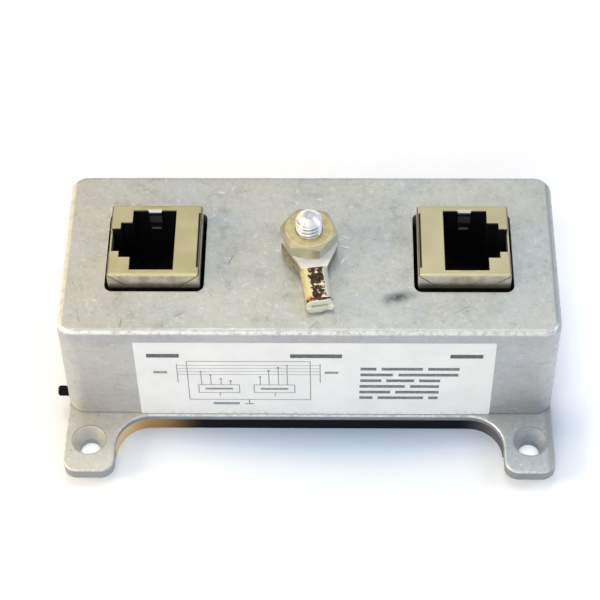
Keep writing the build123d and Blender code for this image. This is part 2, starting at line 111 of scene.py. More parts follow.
def faced_place(tree, place):
    """The two coordinates that lie in the nearest flat face, as X and Y of a vector."""
    at = add(tree, "SeparateXYZ", {0: place})
    normal = add(tree, "SeparateXYZ", {0: add(tree, "NewGeometry").outputs["Normal"]})
    up = add(tree, "Math", {
        0: add(tree, "Math", {0: normal.outputs[2]}, operation="ABSOLUTE").outputs[0], 1: 0.7,
    }, operation="GREATER_THAN").outputs[0]
    side = add(tree, "Math", {
        0: add(tree, "Math", {0: normal.outputs[0]}, operation="ABSOLUTE").outputs[0], 1: 0.7,
    }, operation="GREATER_THAN").outputs[0]
    roof = add(tree, "CombineXYZ", {0: at.outputs[0], 1: at.outputs[1]}).outputs[0]
    wall = add(tree, "CombineXYZ", {0: at.outputs[0], 1: at.outputs[2], 2: 40.0}).outputs[0]
    end = add(tree, "CombineXYZ", {0: at.outputs[1], 1: at.outputs[2], 2: 80.0}).outputs[0]
    picked = add(tree, "Mix", {0: up, 4: wall, 5: roof}, data_type="VECTOR").outputs[1]
    return add(tree, "Mix", {0: side, 4: picked, 5: end}, data_type="VECTOR").outputs[1]


def scratches(tree, place, cell, length, width, keep=1.0, tilt=0.0):
    """Short straight marks, one to a cell, each at its own angle; 1 in the mark and 0 outside."""
    grid = add(tree, "TexVoronoi", {"Vector": place, "Scale": 1 / cell}, voronoi_dimensions="2D", feature="F1")
    offset = add(tree, "VectorMath", {0: place, 1: grid.outputs["Position"]}, operation="SUBTRACT").outputs[0]
    draw = add(tree, "SeparateColor", {0: grid.outputs["Color"]})
    angle = add(tree, "Math", {0: draw.outputs[0], 1: pi, 2: tilt}, operation="MULTIPLY_ADD").outputs[0]
    spun = add(tree, "VectorRotate", {"Vector": offset, "Angle": angle}, rotation_type="Z_AXIS").outputs[0]
    at = add(tree, "SeparateXYZ", {0: spun})
    across = add(tree, "MapRange", {
        0: add(tree, "Math", {0: at.outputs[1]}, operation="ABSOLUTE").outputs[0], 1: width * 0.5, 2: width, 3: 1.0,
        4: 0.0,
    }, interpolation_type="SMOOTHSTEP").outputs[0]
    reach = add(tree, "Math", {0: draw.outputs[1], 1: length / 2}, operation="MULTIPLY").outputs[0]
    along = add(tree, "Math", {
        0: add(tree, "Math", {0: at.outputs[0]}, operation="ABSOLUTE").outputs[0], 1: reach,
    }, operation="LESS_THAN").outputs[0]
    kept = add(tree, "Math", {0: draw.outputs[2], 1: keep}, operation="LESS_THAN").outputs[0]
    return add(tree, "Math", {
        0: add(tree, "Math", {0: across, 1: along}, operation="MULTIPLY").outputs[0], 1: kept,
    }, operation="MULTIPLY").outputs[0]


def stretch_of(tree, value, start, end, soft):
    """1 between two values and 0 outside, with soft ends."""
    rise = add(tree, "MapRange", {
        0: value, 1: start - soft, 2: start + soft,
    }, interpolation_type="SMOOTHSTEP").outputs[0]
    fall = add(tree, "MapRange", {
        0: value, 1: end - soft, 2: end + soft, 3: 1.0, 4: 0.0,
    }, interpolation_type="SMOOTHSTEP").outputs[0]
    return add(tree, "Math", {0: rise, 1: fall}, operation="MULTIPLY").outputs[0]


def spot(tree, place, centre, radius, squash=(1, 1, 1), turn=0.0):
    """A soft round or oval patch around a point, 1 in the middle."""
    moved = add(tree, "VectorMath", {0: place, 1: centre}, operation="SUBTRACT").outputs[0]
    spun = add(tree, "VectorRotate", {"Vector": moved, "Angle": radians(turn)}, rotation_type="Z_AXIS").outputs[0]
    pressed = add(tree, "VectorMath", {0: spun, 1: squash}, operation="MULTIPLY").outputs[0]
    distance = add(tree, "VectorMath", {0: pressed}, operation="LENGTH").outputs["Value"]
    return add(tree, "MapRange", {
        0: distance, 1: 0.0, 2: radius, 3: 1.0, 4: 0.0,
    }, interpolation_type="SMOOTHSTEP").outputs[0]


def single_marks(tree, place, marks, width):
    """Lone scratches on the roof, each from one point to another; 1 in the middle of a mark and 0 outside."""
    found = 0.0
    for start, end in marks:
        run = Vector(end) - Vector(start)
        middle = (Vector(start) + Vector(end)) / 2
        long = run.length * 0.65
        lean = -degrees(atan2(run.y, run.x))
        made = spot(tree, place, (middle.x, middle.y, roof_top), long, (1, long / width, 0.2), lean)
        found = add(tree, "Math", {0: found, 1: made}, operation="MAXIMUM").outputs[0]
    return found


def wandering(tree, place, size, reach):
    """The same place pushed about, so that straight marks bend."""
    push = add(tree, "TexNoise", {"Vector": place, "Scale": 1 / size, "Detail": 1.0}).outputs["Color"]
    return add(tree, "VectorMath", {0: push, 1: (reach, reach, reach), 2: place}, operation="MULTIPLY_ADD").outputs[0]


def from_axis(tree, x, y):
    """The distance of the point X, Y from zero, as from the middle of a round piece."""
    flat = add(tree, "CombineXYZ", {0: x, 1: y}).outputs[0]
    return add(tree, "VectorMath", {0: flat}, operation="LENGTH").outputs["Value"]


def patches(tree, place, size, low, high, to_low=0.0, to_high=1.0, detail=3.0, roughness=0.55, distortion=0.0):
    """Cloudy patches about size millimetres across: a soft step where the noise passes from low to high."""
    cloud = add(tree, "TexNoise", {
        "Vector": place, "Scale": 1 / size, "Detail": detail, "Roughness": roughness, "Distortion": distortion,
    }).outputs["Fac"]
    return add(tree, "MapRange", {0: cloud, 1: low, 2: high, 3: to_low, 4: to_high},
               interpolation_type="SMOOTHSTEP").outputs[0]


def two_tone(tree, pattern, dark, light):
    """One shade where a pattern is low and another where it is high, with a soft edge between them."""
    share = add(tree, "MapRange", {0: pattern, 1: 0.35, 2: 0.65}, interpolation_type="SMOOTHSTEP").outputs[0]
    return add(tree, "Mix", {0: share, 6: tint(dark), 7: tint(light)}, data_type="RGBA").outputs[2]


def fading_in(tree, share, value, low, high, to_low=0.0, to_high=1.0):
    """A share that fades in where a value passes from low to high."""
    fade = add(tree, "MapRange", {0: value, 1: low, 2: high, 3: to_low, 4: to_high},
               interpolation_type="SMOOTHSTEP").outputs[0]
    return add(tree, "Math", {0: share, 1: fade}, operation="MULTIPLY").outputs[0]


def layered(tree, colour, layers):
    """A colour with shades laid over it one after another, each by its own share."""
    for share, shade in layers:
        colour = add(tree, "Mix", {0: share, 6: colour, 7: shade}, data_type="RGBA").outputs[2]
    return colour


def lying_flat(tree):
    """1 on faces that look up or down, 0 on upright ones."""
    normal = add(tree, "SeparateXYZ", {0: add(tree, "NewGeometry").outputs["Normal"]})
    return add(tree, "MapRange", {
        0: add(tree, "Math", {0: normal.outputs[2]}, operation="ABSOLUTE").outputs[0], 1: 0.35, 2: 0.75,
    }, interpolation_type="SMOOTHSTEP").outputs[0]


def die_cast_metal():
    """Bare die-cast alloy, tumbled after casting: a dull grey with cloudy flow patches, flecks, pits and scuffs.

    The patches are 3 to 13 mm across, the flecks 0.3 to 1 mm, and the scuffs 1 to 4 mm long. A real scuff is a few
    hundredths of a millimetre wide, too fine to show, so they are drawn 0.1 mm wide. Warm light is painted on the
    left end, light is painted on the tops, and painted light brightens the ears' tops and countersinks, warm at the
    left and cool at the right; each countersink has a painted dark rim of shade. The walls carry a painted cool tint,
    and painted shade darkens them under the roof's edge, at their foot towards the right and in the seam where they
    meet the flange, and paints the flange's edge below darker still. The rounded edges have rubbed bright and carry a
    painted highlight.
    """
    material, tree, shader = new_material("die_cast_metal")
    place = millimetres(tree)
    at = add(tree, "SeparateXYZ", {0: place})
    normal_at = add(tree, "SeparateXYZ", {0: add(tree, "NewGeometry").outputs["Normal"]})
    along, height, facing_up = at.outputs[0], at.outputs[2], normal_at.outputs[2]
    face = faced_place(tree, wandering(tree, place, 3.0, 0.6))

    # Flow patches, random tones, painted warm light at the left end and painted light on the tops
    clouds = add(tree, "TexNoise", {
        "Vector": place, "Scale": 1 / 10.0, "Detail": 4.0, "Roughness": 0.62, "Distortion": 0.8,
    }).outputs[0]
    mottle = add(tree, "TexNoise", {
        "Vector": place, "Scale": 1 / 2.6, "Detail": 4.0, "Roughness": 0.65, "Distortion": 0.5,
    }).outputs[0]
    pale_mottle = add(tree, "MapRange", {
        0: mottle, 1: 0.36, 2: 0.6, 4: 0.55,
    }, interpolation_type="SMOOTHSTEP").outputs[0]
    dark_mottle = add(tree, "MapRange", {
        0: mottle, 1: 0.42, 2: 0.3, 4: 0.5,
    }, interpolation_type="SMOOTHSTEP").outputs[0]
    pale_grain = patches(tree, place, 0.5, 0.35, 0.65, 0.0, 0.3, detail=2.0)
    tones = add(tree, "TexNoise", {
        "Vector": add(tree, "Mapping", {"Vector": place, "Location": (30, 12, 0)}).outputs[0], "Scale": 1 / 13.0,
        "Detail": 2.0, "Roughness": 0.55, "Distortion": 0.5,
    }).outputs[0]
    cool_tone = add(tree, "MapRange", {0: tones, 1: 0.5, 2: 0.62, 4: 0.3}, interpolation_type="SMOOTHSTEP").outputs[0]
    warm_tone = add(tree, "MapRange", {0: tones, 1: 0.5, 2: 0.38, 4: 0.3}, interpolation_type="SMOOTHSTEP").outputs[0]
    # Painted warm light on the left end
    painted_warm_light = add(tree, "MapRange", {
        0: along, 1: -18.0, 2: -40.0, 4: 0.5,
    }, interpolation_type="SMOOTHSTEP").outputs[0]
    to_right = add(tree, "MapRange", {0: along, 1: -30.0, 2: 30.0}, interpolation_type="SMOOTHSTEP").outputs[0]
    tops = add(tree, "MapRange", {0: facing_up, 1: 0.6, 2: 0.9}, interpolation_type="SMOOTHSTEP").outputs[0]
    # Painted light: the tops lighter, more so towards the right
    painted_light_on_tops = fading_in(tree, tops, along, -25.0, 25.0, 0.04, 0.2)

    # Walls: smears, a painted cool tint, and painted shade at their foot, in the seam, under the roof's edge and on
    # the flange's edge
    walls = add(tree, "MapRange", {
        0: add(tree, "Math", {0: facing_up}, operation="ABSOLUTE").outputs[0], 1: 0.5, 2: 0.2,
    }, interpolation_type="SMOOTHSTEP").outputs[0]
    # Painted cool light on the walls
    painted_cool_walls = add(tree, "Math", {0: walls, 1: 0.4}, operation="MULTIPLY").outputs[0]
    smears = add(tree, "TexNoise", {
        "Vector": add(tree, "Mapping", {"Vector": place, "Scale": (1, 1, 3.5)}).outputs[0], "Scale": 1 / 4.0,
        "Detail": 4.0, "Roughness": 0.7,
    }).outputs[0]
    wall_smears = fading_in(tree, walls, smears, 0.55, 0.68, 0.0, 0.3)
    # Painted shade: the walls darker at their foot, more so towards the right
    low_down = add(tree, "MapRange", {0: height, 1: 13.0, 2: 4.5}, interpolation_type="SMOOTHSTEP").outputs[0]
    foot = fading_in(tree, low_down, along, 0.0, 36.0)
    foot = add(tree, "Math", {
        0: add(tree, "Math", {0: walls, 1: foot}, operation="MULTIPLY").outputs[0], 1: 0.4,
    }, operation="MULTIPLY").outputs[0]
    # Painted shade in the seam where the walls meet the flange
    seam = add(tree, "Math", {
        0: stretch_of(tree, height, flange_top - 0.1, flange_top + 0.3, 0.1), 1: walls,
    }, operation="MULTIPLY").outputs[0]
    seam = add(tree, "Math", {0: seam, 1: 0.55}, operation="MULTIPLY").outputs[0]
    # Painted shade on the walls under the roof's edge
    painted_shade_under_edge = fading_in(tree, walls, height, 20.5, 23.5)
    painted_shade_under_edge = add(tree, "Math", {0: painted_shade_under_edge, 1: 0.33}, operation="MULTIPLY").outputs[0]
    # Painted shade on the flange's edge, below the seam
    painted_flange_edge_shade = add(tree, "Math", {
        0: add(tree, "Math", {0: height, 1: flange_top - 0.35}, operation="LESS_THAN").outputs[0], 1: walls,
    }, operation="MULTIPLY").outputs[0]
    painted_flange_edge_shade = add(tree, "Math", {0: painted_flange_edge_shade, 1: 0.7}, operation="MULTIPLY").outputs[0]

    # Ears: painted light on their tops and in the countersinks, warm at the left and cool at the right, and a painted
    # dark rim of shade round each countersink
    ear_tops = fading_in(tree, tops, height, 5.2, 3.8)
    side_x = add(tree, "Math", {
        0: add(tree, "Math", {0: along}, operation="ABSOLUTE").outputs[0], 1: ear_hole_x,
    }, operation="SUBTRACT").outputs[0]
    side_y = add(tree, "Math", {
        0: add(tree, "Math", {0: at.outputs[1]}, operation="ABSOLUTE").outputs[0], 1: ear_hole_y,
    }, operation="SUBTRACT").outputs[0]
    from_hole = from_axis(tree, side_x, side_y)
    # Painted light in the countersinks
    in_hole = add(tree, "Math", {
        0: add(tree, "Math", {0: from_hole, 1: ear_sink_r - 0.05}, operation="LESS_THAN").outputs[0], 1: 0.75,
    }, operation="MULTIPLY").outputs[0]
    # Painted shade: a dark rim round each countersink
    rim = add(tree, "Math", {
        0: stretch_of(tree, from_hole, ear_sink_r - 0.05, ear_sink_r + 0.15, 0.06), 1: ear_tops,
    }, operation="MULTIPLY").outputs[0]
    rim = add(tree, "Math", {0: rim, 1: 0.5}, operation="MULTIPLY").outputs[0]
    # Painted light on the ears' tops, warm at the left and cool at the right
    ear_tops = add(tree, "Math", {0: ear_tops, 1: 0.6}, operation="MULTIPLY").outputs[0]
    painted_ear_light = add(tree, "Mix", {0: to_right, 6: tint("#DADAD4"), 7: tint("#B4BEC6")}, data_type="RGBA").outputs[2]
    painted_sink_light = add(tree, "Mix", {0: to_right, 6: tint("#F1EFE8"), 7: tint("#BCC6D2")}, data_type="RGBA").outputs[2]

    # Flecks, streaks, pits and scuffs
    flecks = add(tree, "TexNoise", {"Vector": place, "Scale": 1 / 0.95, "Detail": 4.0, "Roughness": 0.75}).outputs[0]
    more_lying = add(tree, "Math", {0: lying_flat(tree), 1: 0.5, 2: 0.2}, operation="MULTIPLY_ADD").outputs[0]
    pale_flecks = fading_in(tree, more_lying, flecks, 0.54, 0.72)
    dark_flecks = add(tree, "MapRange", {
        0: flecks, 1: 0.44, 2: 0.28, 4: 0.42,
    }, interpolation_type="SMOOTHSTEP").outputs[0]
    streaks = patches(tree, wandering(tree, place, 2.0, 1.5), 1.0, 0.6, 0.7, 0.0, 0.4, roughness=0.7, distortion=1.2)
    pits = patches(tree, place, 0.7, 0.3, 0.22, 0.0, 0.55, detail=2.0, roughness=0.6)
    fine = scratches(tree, face, 3.0, 2.6, 0.07, keep=0.3)
    long = scratches(tree, face, 11.0, 4.0, 0.09, keep=0.12, tilt=0.9)
    marks = add(tree, "Math", {
        0: add(tree, "Math", {0: fine, 1: 0.7}, operation="MULTIPLY").outputs[0], 1: long,
    }, operation="MAXIMUM").outputs[0]
    bright_marks = add(tree, "Math", {0: marks, 1: 0.4}, operation="MULTIPLY").outputs[0]
    dull_marks = add(tree, "Math", {
        0: scratches(tree, face, 11.0, 3.0, 0.14, keep=0.25, tilt=2.0), 1: 0.3,
    }, operation="MULTIPLY").outputs[0]
    smudge = spot(tree, place, (13.9, -9.0, roof_top), 3.6, (0.85, 2.1, 1.0), turn=-14.0)
    smudge = add(tree, "Math", {
        0: smudge, 1: patches(tree, place, 0.9, 0.3, 0.6, 0.6, 1.0),
    }, operation="MULTIPLY").outputs[0]
    lone_scratches = add(tree, "MapRange", {
        0: single_marks(tree, place, roof_scratches, 0.16), 1: 0.0, 2: 0.4, 4: 0.85,
    }, interpolation_type="SMOOTHSTEP").outputs[0]
    lone_scores = add(tree, "MapRange", {
        0: single_marks(tree, place, roof_scores, 0.13), 1: 0.0, 2: 0.4, 4: 0.6,
    }, interpolation_type="SMOOTHSTEP").outputs[0]

    # Rounded edges, rubbed bright and with a painted highlight; the left one is painted almost white by the warm
    # light, and the right one painted darker, as shade
    high_up = add(tree, "MapRange", {0: facing_up, 1: 0.3, 2: 0.55}, interpolation_type="SMOOTHSTEP").outputs[0]
    off_top = add(tree, "MapRange", {0: facing_up, 1: 0.975, 2: 0.88}, interpolation_type="SMOOTHSTEP").outputs[0]
    chips = patches(tree, place, 0.8, 0.38, 0.54, 0.2, 1.0, detail=4.0, roughness=0.7)
    # Rubbed wear on the rounded edges, with a painted highlight along them
    worn = add(tree, "Math", {
        0: add(tree, "Math", {0: high_up, 1: off_top}, operation="MULTIPLY").outputs[0], 1: chips,
    }, operation="MULTIPLY").outputs[0]
    rubbed_and_highlit_edges = fading_in(tree, worn, height, 8.0, 16.0, 0.2, 0.8)
    up = add(tree, "MapRange", {0: facing_up, 1: 0.1, 2: 0.35}, interpolation_type="SMOOTHSTEP").outputs[0]
    # Painted highlight of the warm light on the left edge, almost white
    painted_left_highlight = fading_in(tree, up, along, -37.9, -38.2)
    left_highlight_patches = patches(tree, place, 1.6, 0.3, 0.5, 0.5, 1.0)
    painted_left_highlight = add(tree, "Math", {0: painted_left_highlight, 1: left_highlight_patches}, operation="MULTIPLY").outputs[0]
    painted_left_highlight = fading_in(tree, painted_left_highlight, height, 20.0, 24.0)
    # Chips on the ears' edges, with a painted highlight along them
    nicks_and_painted_highlight = add(tree, "Math", {
        0: worn, 1: patches(tree, place, 0.7, 0.42, 0.56, 0.1, 0.6),
    }, operation="MULTIPLY").outputs[0]
    nicks_and_painted_highlight = fading_in(tree, nicks_and_painted_highlight, height, 5.0, 4.0)
    # Painted shade: the right rounded edge darker
    painted_right_edge_shade = add(tree, "Math", {
        0: fading_in(tree, up, along, 37.8, 38.3), 1: 0.5,
    }, operation="MULTIPLY").outputs[0]

    colour = add(tree, "Mix", {
        0: add(tree, "MapRange", {0: clouds, 1: 0.34, 2: 0.66}, interpolation_type="SMOOTHSTEP").outputs[0],
        6: tint("#AFB0AC"), 7: tint("#C5C6C1"),
    }, data_type="RGBA").outputs[2]
    colour = layered(tree, colour, [
        (pale_mottle, tint("#CFD0CB")), (dark_mottle, tint("#9DA1A2")), (pale_grain, tint("#D4D4D0")),
        (cool_tone, tint("#C4CFD6")), (warm_tone, tint("#D8D5C6")), (painted_warm_light, tint("#D4C9B2")),
        (painted_light_on_tops, tint("#EAF3F0")), (painted_cool_walls, tint("#B7BDCB")), (wall_smears, tint("#8C8E93")),
        (foot, tint("#82868F")), (seam, tint("#74777B")), (painted_shade_under_edge, tint("#A2A4AE")),
        (ear_tops, painted_ear_light), (in_hole, painted_sink_light), (rim, tint("#85878A")),
        (pale_flecks, tint("#EDF0EF")), (dark_flecks, tint("#8A8D8F")), (streaks, tint("#E2E4E2")),
        (pits, tint("#7F8284")), (bright_marks, tint("#F4F4F2")), (dull_marks, tint("#7C7E80")),
        (smudge, tint("#5E6266")), (lone_scratches, tint("#F6F7F6")), (lone_scores, tint("#6F7376")),
        (rubbed_and_highlit_edges, tint("#F2F6F7")), (painted_left_highlight, tint("#FFFAE4")), (nicks_and_painted_highlight, tint("#F4F5F4")),
        (painted_right_edge_shade, tint("#9A9D9B")), (painted_flange_edge_shade, tint("#82878F")),
    ])
    normal = add(tree, "Bump", {
        "Height": add(tree, "TexNoise", {
            "Vector": place, "Scale": 1 / 0.9, "Detail": 3.0, "Roughness": 0.55,
        }).outputs[0],
        "Distance": 0.03 * MM,
    }).outputs[0]
    finish_shader(
        tree, shader, Base_Color=colour, Metallic=0.6,
        Roughness=add(tree, "MapRange", {
            0: clouds, 1: 0.3, 2: 0.7, 3: 0.52, 4: 0.44,
        }, interpolation_type="SMOOTHSTEP").outputs[0],
        Normal=add(tree, "Bump", {"Height": marks, "Distance": -0.015 * MM, "Normal": normal}).outputs[0],
    )
    return material


def black_moulding():
    """Glass-filled nylon, moulded: dull black. Warm light is painted amber on its front edge at the left end, and
    light is painted grey on it at the right end.
    """
    material, tree, shader = new_material("black_nylon_moulding")
    place = millimetres(tree)
    at = add(tree, "SeparateXYZ", {0: place})
    grain = add(tree, "TexNoise", {"Vector": place, "Scale": 1 / 0.25, "Detail": 2.0, "Roughness": 0.55}).outputs[0]
    black = add(tree, "Mix", {0: grain, 6: tint("#0E0E13"), 7: tint("#17171E")}, data_type="RGBA").outputs[2]
    # Painted warm light: amber on the front edge at the left end
    amber = add(tree, "Mix", {
        0: add(tree, "MapRange", {0: at.outputs[0], 1: -31.0, 2: -26.0}, interpolation_type="SMOOTHSTEP").outputs[0],
        6: tint("#FBDDA8"), 7: tint("#CFA76E"),
    }, data_type="RGBA").outputs[2]
    fade = add(tree, "MapRange", {
        0: at.outputs[0], 1: -30.0, 2: -17.0, 3: 1.0, 4: 0.0,
    }, interpolation_type="SMOOTHSTEP").outputs[0]
    front = add(tree, "Math", {0: at.outputs[1], 1: -base_depth / 2 + 0.3}, operation="LESS_THAN").outputs[0]
    lit = add(tree, "Math", {0: fade, 1: front}, operation="MULTIPLY").outputs[0]
    # Painted light: grey on the front edge at the right end
    painted_cool_light = fading_in(tree, front, at.outputs[0], 24.0, 31.5, 0.0, 0.8)
    colour = layered(tree, black, [(lit, amber), (painted_cool_light, tint("#6F7078"))])
    finish_shader(
        tree, shader, Base_Color=colour, Roughness=0.55, IOR=1.5, Specular_IOR_Level=0.06,
        Normal=add(tree, "Bump", {"Height": grain, "Distance": 0.008 * MM}).outputs[0],
    )
    return material


def nickel_sheet():
    """Nickel-plated brass sheet, rolled and stamped: smooth warm tan on the face, greyer on the folded walls.

    Painted shade darkens the walls towards the roof, more so at the right, and paints them black below it, and the
    slit along each inner edge is painted dark as shade. The ground fingers bent down into the ports are painted dark
    as shade, with a painted light bend at the top, lighter on the rear ones, a painted grey middle and a painted
    bright tip.
    """
    material, tree, shader = new_material("nickel_plated_sheet")
    place = millimetres(tree)
    at = add(tree, "SeparateXYZ", {0: place})
    height = at.outputs[2]
    out_x = add(tree, "Math", {0: at.outputs[0]}, operation="ABSOLUTE").outputs[0]
    out_y = add(tree, "Math", {0: at.outputs[1]}, operation="ABSOLUTE").outputs[0]
    to_right = add(tree, "MapRange", {
        0: at.outputs[0], 1: -10.0, 2: 10.0,
    }, interpolation_type="SMOOTHSTEP").outputs[0]
    clouds = add(tree, "TexNoise", {"Vector": place, "Scale": 1 / 5.0, "Detail": 2.0, "Roughness": 0.55}).outputs[0]
    face = two_tone(tree, clouds, "#C9BE92", "#D2C8A0")
    face = add(tree, "Mix", {
        0: add(tree, "Math", {0: to_right, 1: 0.4}, operation="MULTIPLY").outputs[0], 6: face, 7: tint("#E6E0BC"),
    }, data_type="RGBA").outputs[2]
    wall_clouds = add(tree, "TexNoise", {
        "Vector": place, "Scale": 1 / 1.6, "Detail": 3.0, "Roughness": 0.55,
    }).outputs[0]
    walls = two_tone(tree, wall_clouds, "#BDB7A2", "#DEDACB")
    # Painted shade: the walls darker towards the roof, more so at the right, and black below it
    more_right = add(tree, "Math", {0: to_right, 1: 0.35, 2: 0.35}, operation="MULTIPLY_ADD").outputs[0]
    foot = fading_in(tree, more_right, height, 27.0, 25.6)
    painted_shade_below_roof = add(tree, "MapRange", {
        0: height, 1: roof_top + 0.15, 2: roof_top - 0.25, 4: 0.92,
    }, interpolation_type="SMOOTHSTEP").outputs[0]
    walls = layered(tree, walls, [(foot, tint("#67645E")), (painted_shade_below_roof, tint("#17161A"))])
    marks = add(tree, "Math", {
        0: scratches(tree, faced_place(tree, place), 5.0, 2.0, 0.06, keep=0.3), 1: 0.25,
    }, operation="MULTIPLY").outputs[0]
    # Painted shade in the slit along each inner edge
    inward = add(tree, "Math", {0: socket_offset, 1: out_x}, operation="SUBTRACT").outputs[0]
    slit = add(tree, "Math", {
        0: stretch_of(tree, inward, slit_from, slit_to, 0.03),
        1: add(tree, "Math", {0: out_y, 1: slit_half}, operation="LESS_THAN").outputs[0],
    }, operation="MULTIPLY").outputs[0]
    slit = add(tree, "Math", {0: slit, 1: 0.9}, operation="MULTIPLY").outputs[0]

    # Ground fingers, painted in light and shade: the bend at the top, lighter at the back, then painted dark shade,
    # with a painted grey middle and a painted bright tip in it
    off_middle = add(tree, "Math", {
        0: add(tree, "Math", {0: out_x, 1: port_middle}, operation="SUBTRACT").outputs[0],
    }, operation="ABSOLUTE").outputs[0]
    finger = add(tree, "Math", {
        0: add(tree, "Math", {0: off_middle, 1: 1.15}, operation="LESS_THAN").outputs[0],
        1: add(tree, "Math", {0: out_y, 1: port_half + 0.2}, operation="LESS_THAN").outputs[0],
    }, operation="MULTIPLY").outputs[0]
    at_back = add(tree, "Math", {0: at.outputs[1], 1: 0.0}, operation="GREATER_THAN").outputs[0]
    bend = add(tree, "Mix", {0: at_back, 6: tint("#B9AF88"), 7: tint("#E2E2DE")}, data_type="RGBA").outputs[2]
    grey = stretch_of(tree, height, socket_top - 2.6, socket_top - 1.0, 0.1)
    tip = add(tree, "Math", {
        0: stretch_of(tree, height, socket_top - 4.2, socket_top - 3.7, 0.1),
        1: add(tree, "Math", {0: off_middle, 1: 0.75}, operation="LESS_THAN").outputs[0],
    }, operation="MULTIPLY").outputs[0]
    shade = layered(tree, tint("#1B1B20"), [(grey, tint("#4C4C52")), (tip, tint("#88888C"))])
    shade = add(tree, "Mix", {
        0: add(tree, "Math", {0: height, 1: socket_top - 0.3}, operation="LESS_THAN").outputs[0], 6: bend, 7: shade,
    }, data_type="RGBA").outputs[2]

    colour = add(tree, "Mix", {0: lying_flat(tree), 6: walls, 7: face}, data_type="RGBA").outputs[2]
    colour = layered(tree, colour, [(marks, tint("#F0EAD6")), (slit, tint("#2B261C")), (finger, shade)])
    metal = add(tree, "Math", {0: finger, 1: -0.5, 2: 0.8}, operation="MULTIPLY_ADD").outputs[0]
    finish_shader(
        tree, shader, Base_Color=colour, Metallic=metal,
        Roughness=add(tree, "MapRange", {
            0: clouds, 1: 0.3, 2: 0.7, 3: 0.36, 4: 0.42,
        }, interpolation_type="SMOOTHSTEP").outputs[0],
        Normal=add(tree, "Bump", {"Height": clouds, "Distance": 0.01 * MM}).outputs[0],
    )
    return material


def port_moulding():
    """Polyester socket block, moulded: a deep black with a slight gloss."""
    material, tree, shader = new_material("black_polyester_moulding")
    place = millimetres(tree)
    grain = add(tree, "TexNoise", {"Vector": place, "Scale": 1 / 0.3, "Detail": 2.0, "Roughness": 0.55}).outputs[0]
    colour = add(tree, "Mix", {0: grain, 6: tint("#0C0C10"), 7: tint("#16161B")}, data_type="RGBA").outputs[2]
    finish_shader(
        tree, shader, Base_Color=colour, Roughness=0.35, IOR=1.5,
        Normal=add(tree, "Bump", {"Height": grain, "Distance": 0.004 * MM}).outputs[0],
    )
    return material


def gold_contact():
    """Phosphor bronze wire with a thin gold plating: warm and bright."""
    material, tree, shader = new_material("gold_plated_wire")
    place = millimetres(tree)
    clouds = add(tree, "TexNoise", {"Vector": place, "Scale": 1 / 0.8, "Detail": 2.0, "Roughness": 0.55}).outputs[0]
    colour = add(tree, "Mix", {0: clouds, 6: tint("#C99A3E"), 7: tint("#E2BC67")}, data_type="RGBA").outputs[2]
    finish_shader(tree, shader, Base_Color=colour, Metallic=1.0, Roughness=0.25)
    return material


def sticker_film():
    """White polyester film: satin and almost flat, a little rubbed and dusty along its lower edge."""
    material, tree, shader = new_material("white_polyester_film")
    place = millimetres(tree)
    at = add(tree, "SeparateXYZ", {0: place})
    clouds = add(tree, "TexNoise", {"Vector": place, "Scale": 1 / 6.0, "Detail": 3.0, "Roughness": 0.55}).outputs[0]
    colour = two_tone(tree, clouds, "#F0F3F5", "#F6F9FA")
    foot = add(tree, "MapRange", {
        0: at.outputs[2], 1: label_low, 2: label_low + 1.2, 3: 1.0, 4: 0.0,
    }, interpolation_type="SMOOTHSTEP").outputs[0]
    rub = patches(tree, place, 0.7, 0.5, 0.68)
    colour = add(tree, "Mix", {
        0: add(tree, "Math", {
            0: add(tree, "Math", {0: foot, 1: rub}, operation="MULTIPLY").outputs[0], 1: 0.5,
        }, operation="MULTIPLY").outputs[0],
        6: colour, 7: tint("#B9BBBE"),
    }, data_type="RGBA").outputs[2]
    finish_shader(
        tree, shader, Base_Color=colour, Roughness=0.45, IOR=1.5,
        Normal=add(tree, "Bump", {
            "Height": add(tree, "TexNoise", {
                "Vector": place, "Scale": 1 / 2.5, "Detail": 2.0, "Roughness": 0.55,
            }).outputs[0],
            "Distance": 0.01 * MM,
        }).outputs[0],
    )
    return material


def printing_ink(name, dark, light):
    """Thermal-transfer ink: soft grey, slightly worn in patches of a third of a millimetre."""
    material, tree, shader = new_material(name)
    place = millimetres(tree)
    wear = add(tree, "TexNoise", {"Vector": place, "Scale": 1 / 0.35, "Detail": 2.0, "Roughness": 0.55}).outputs[0]
    finish_shader(
        tree, shader,
        Base_Color=add(tree, "Mix", {
            0: add(tree, "MapRange", {0: wear, 1: 0.35, 2: 0.75}, interpolation_type="SMOOTHSTEP").outputs[0],
            6: tint(dark), 7: tint(light),
        }, data_type="RGBA").outputs[2],
        Roughness=0.55, IOR=1.5,
    )
    return material


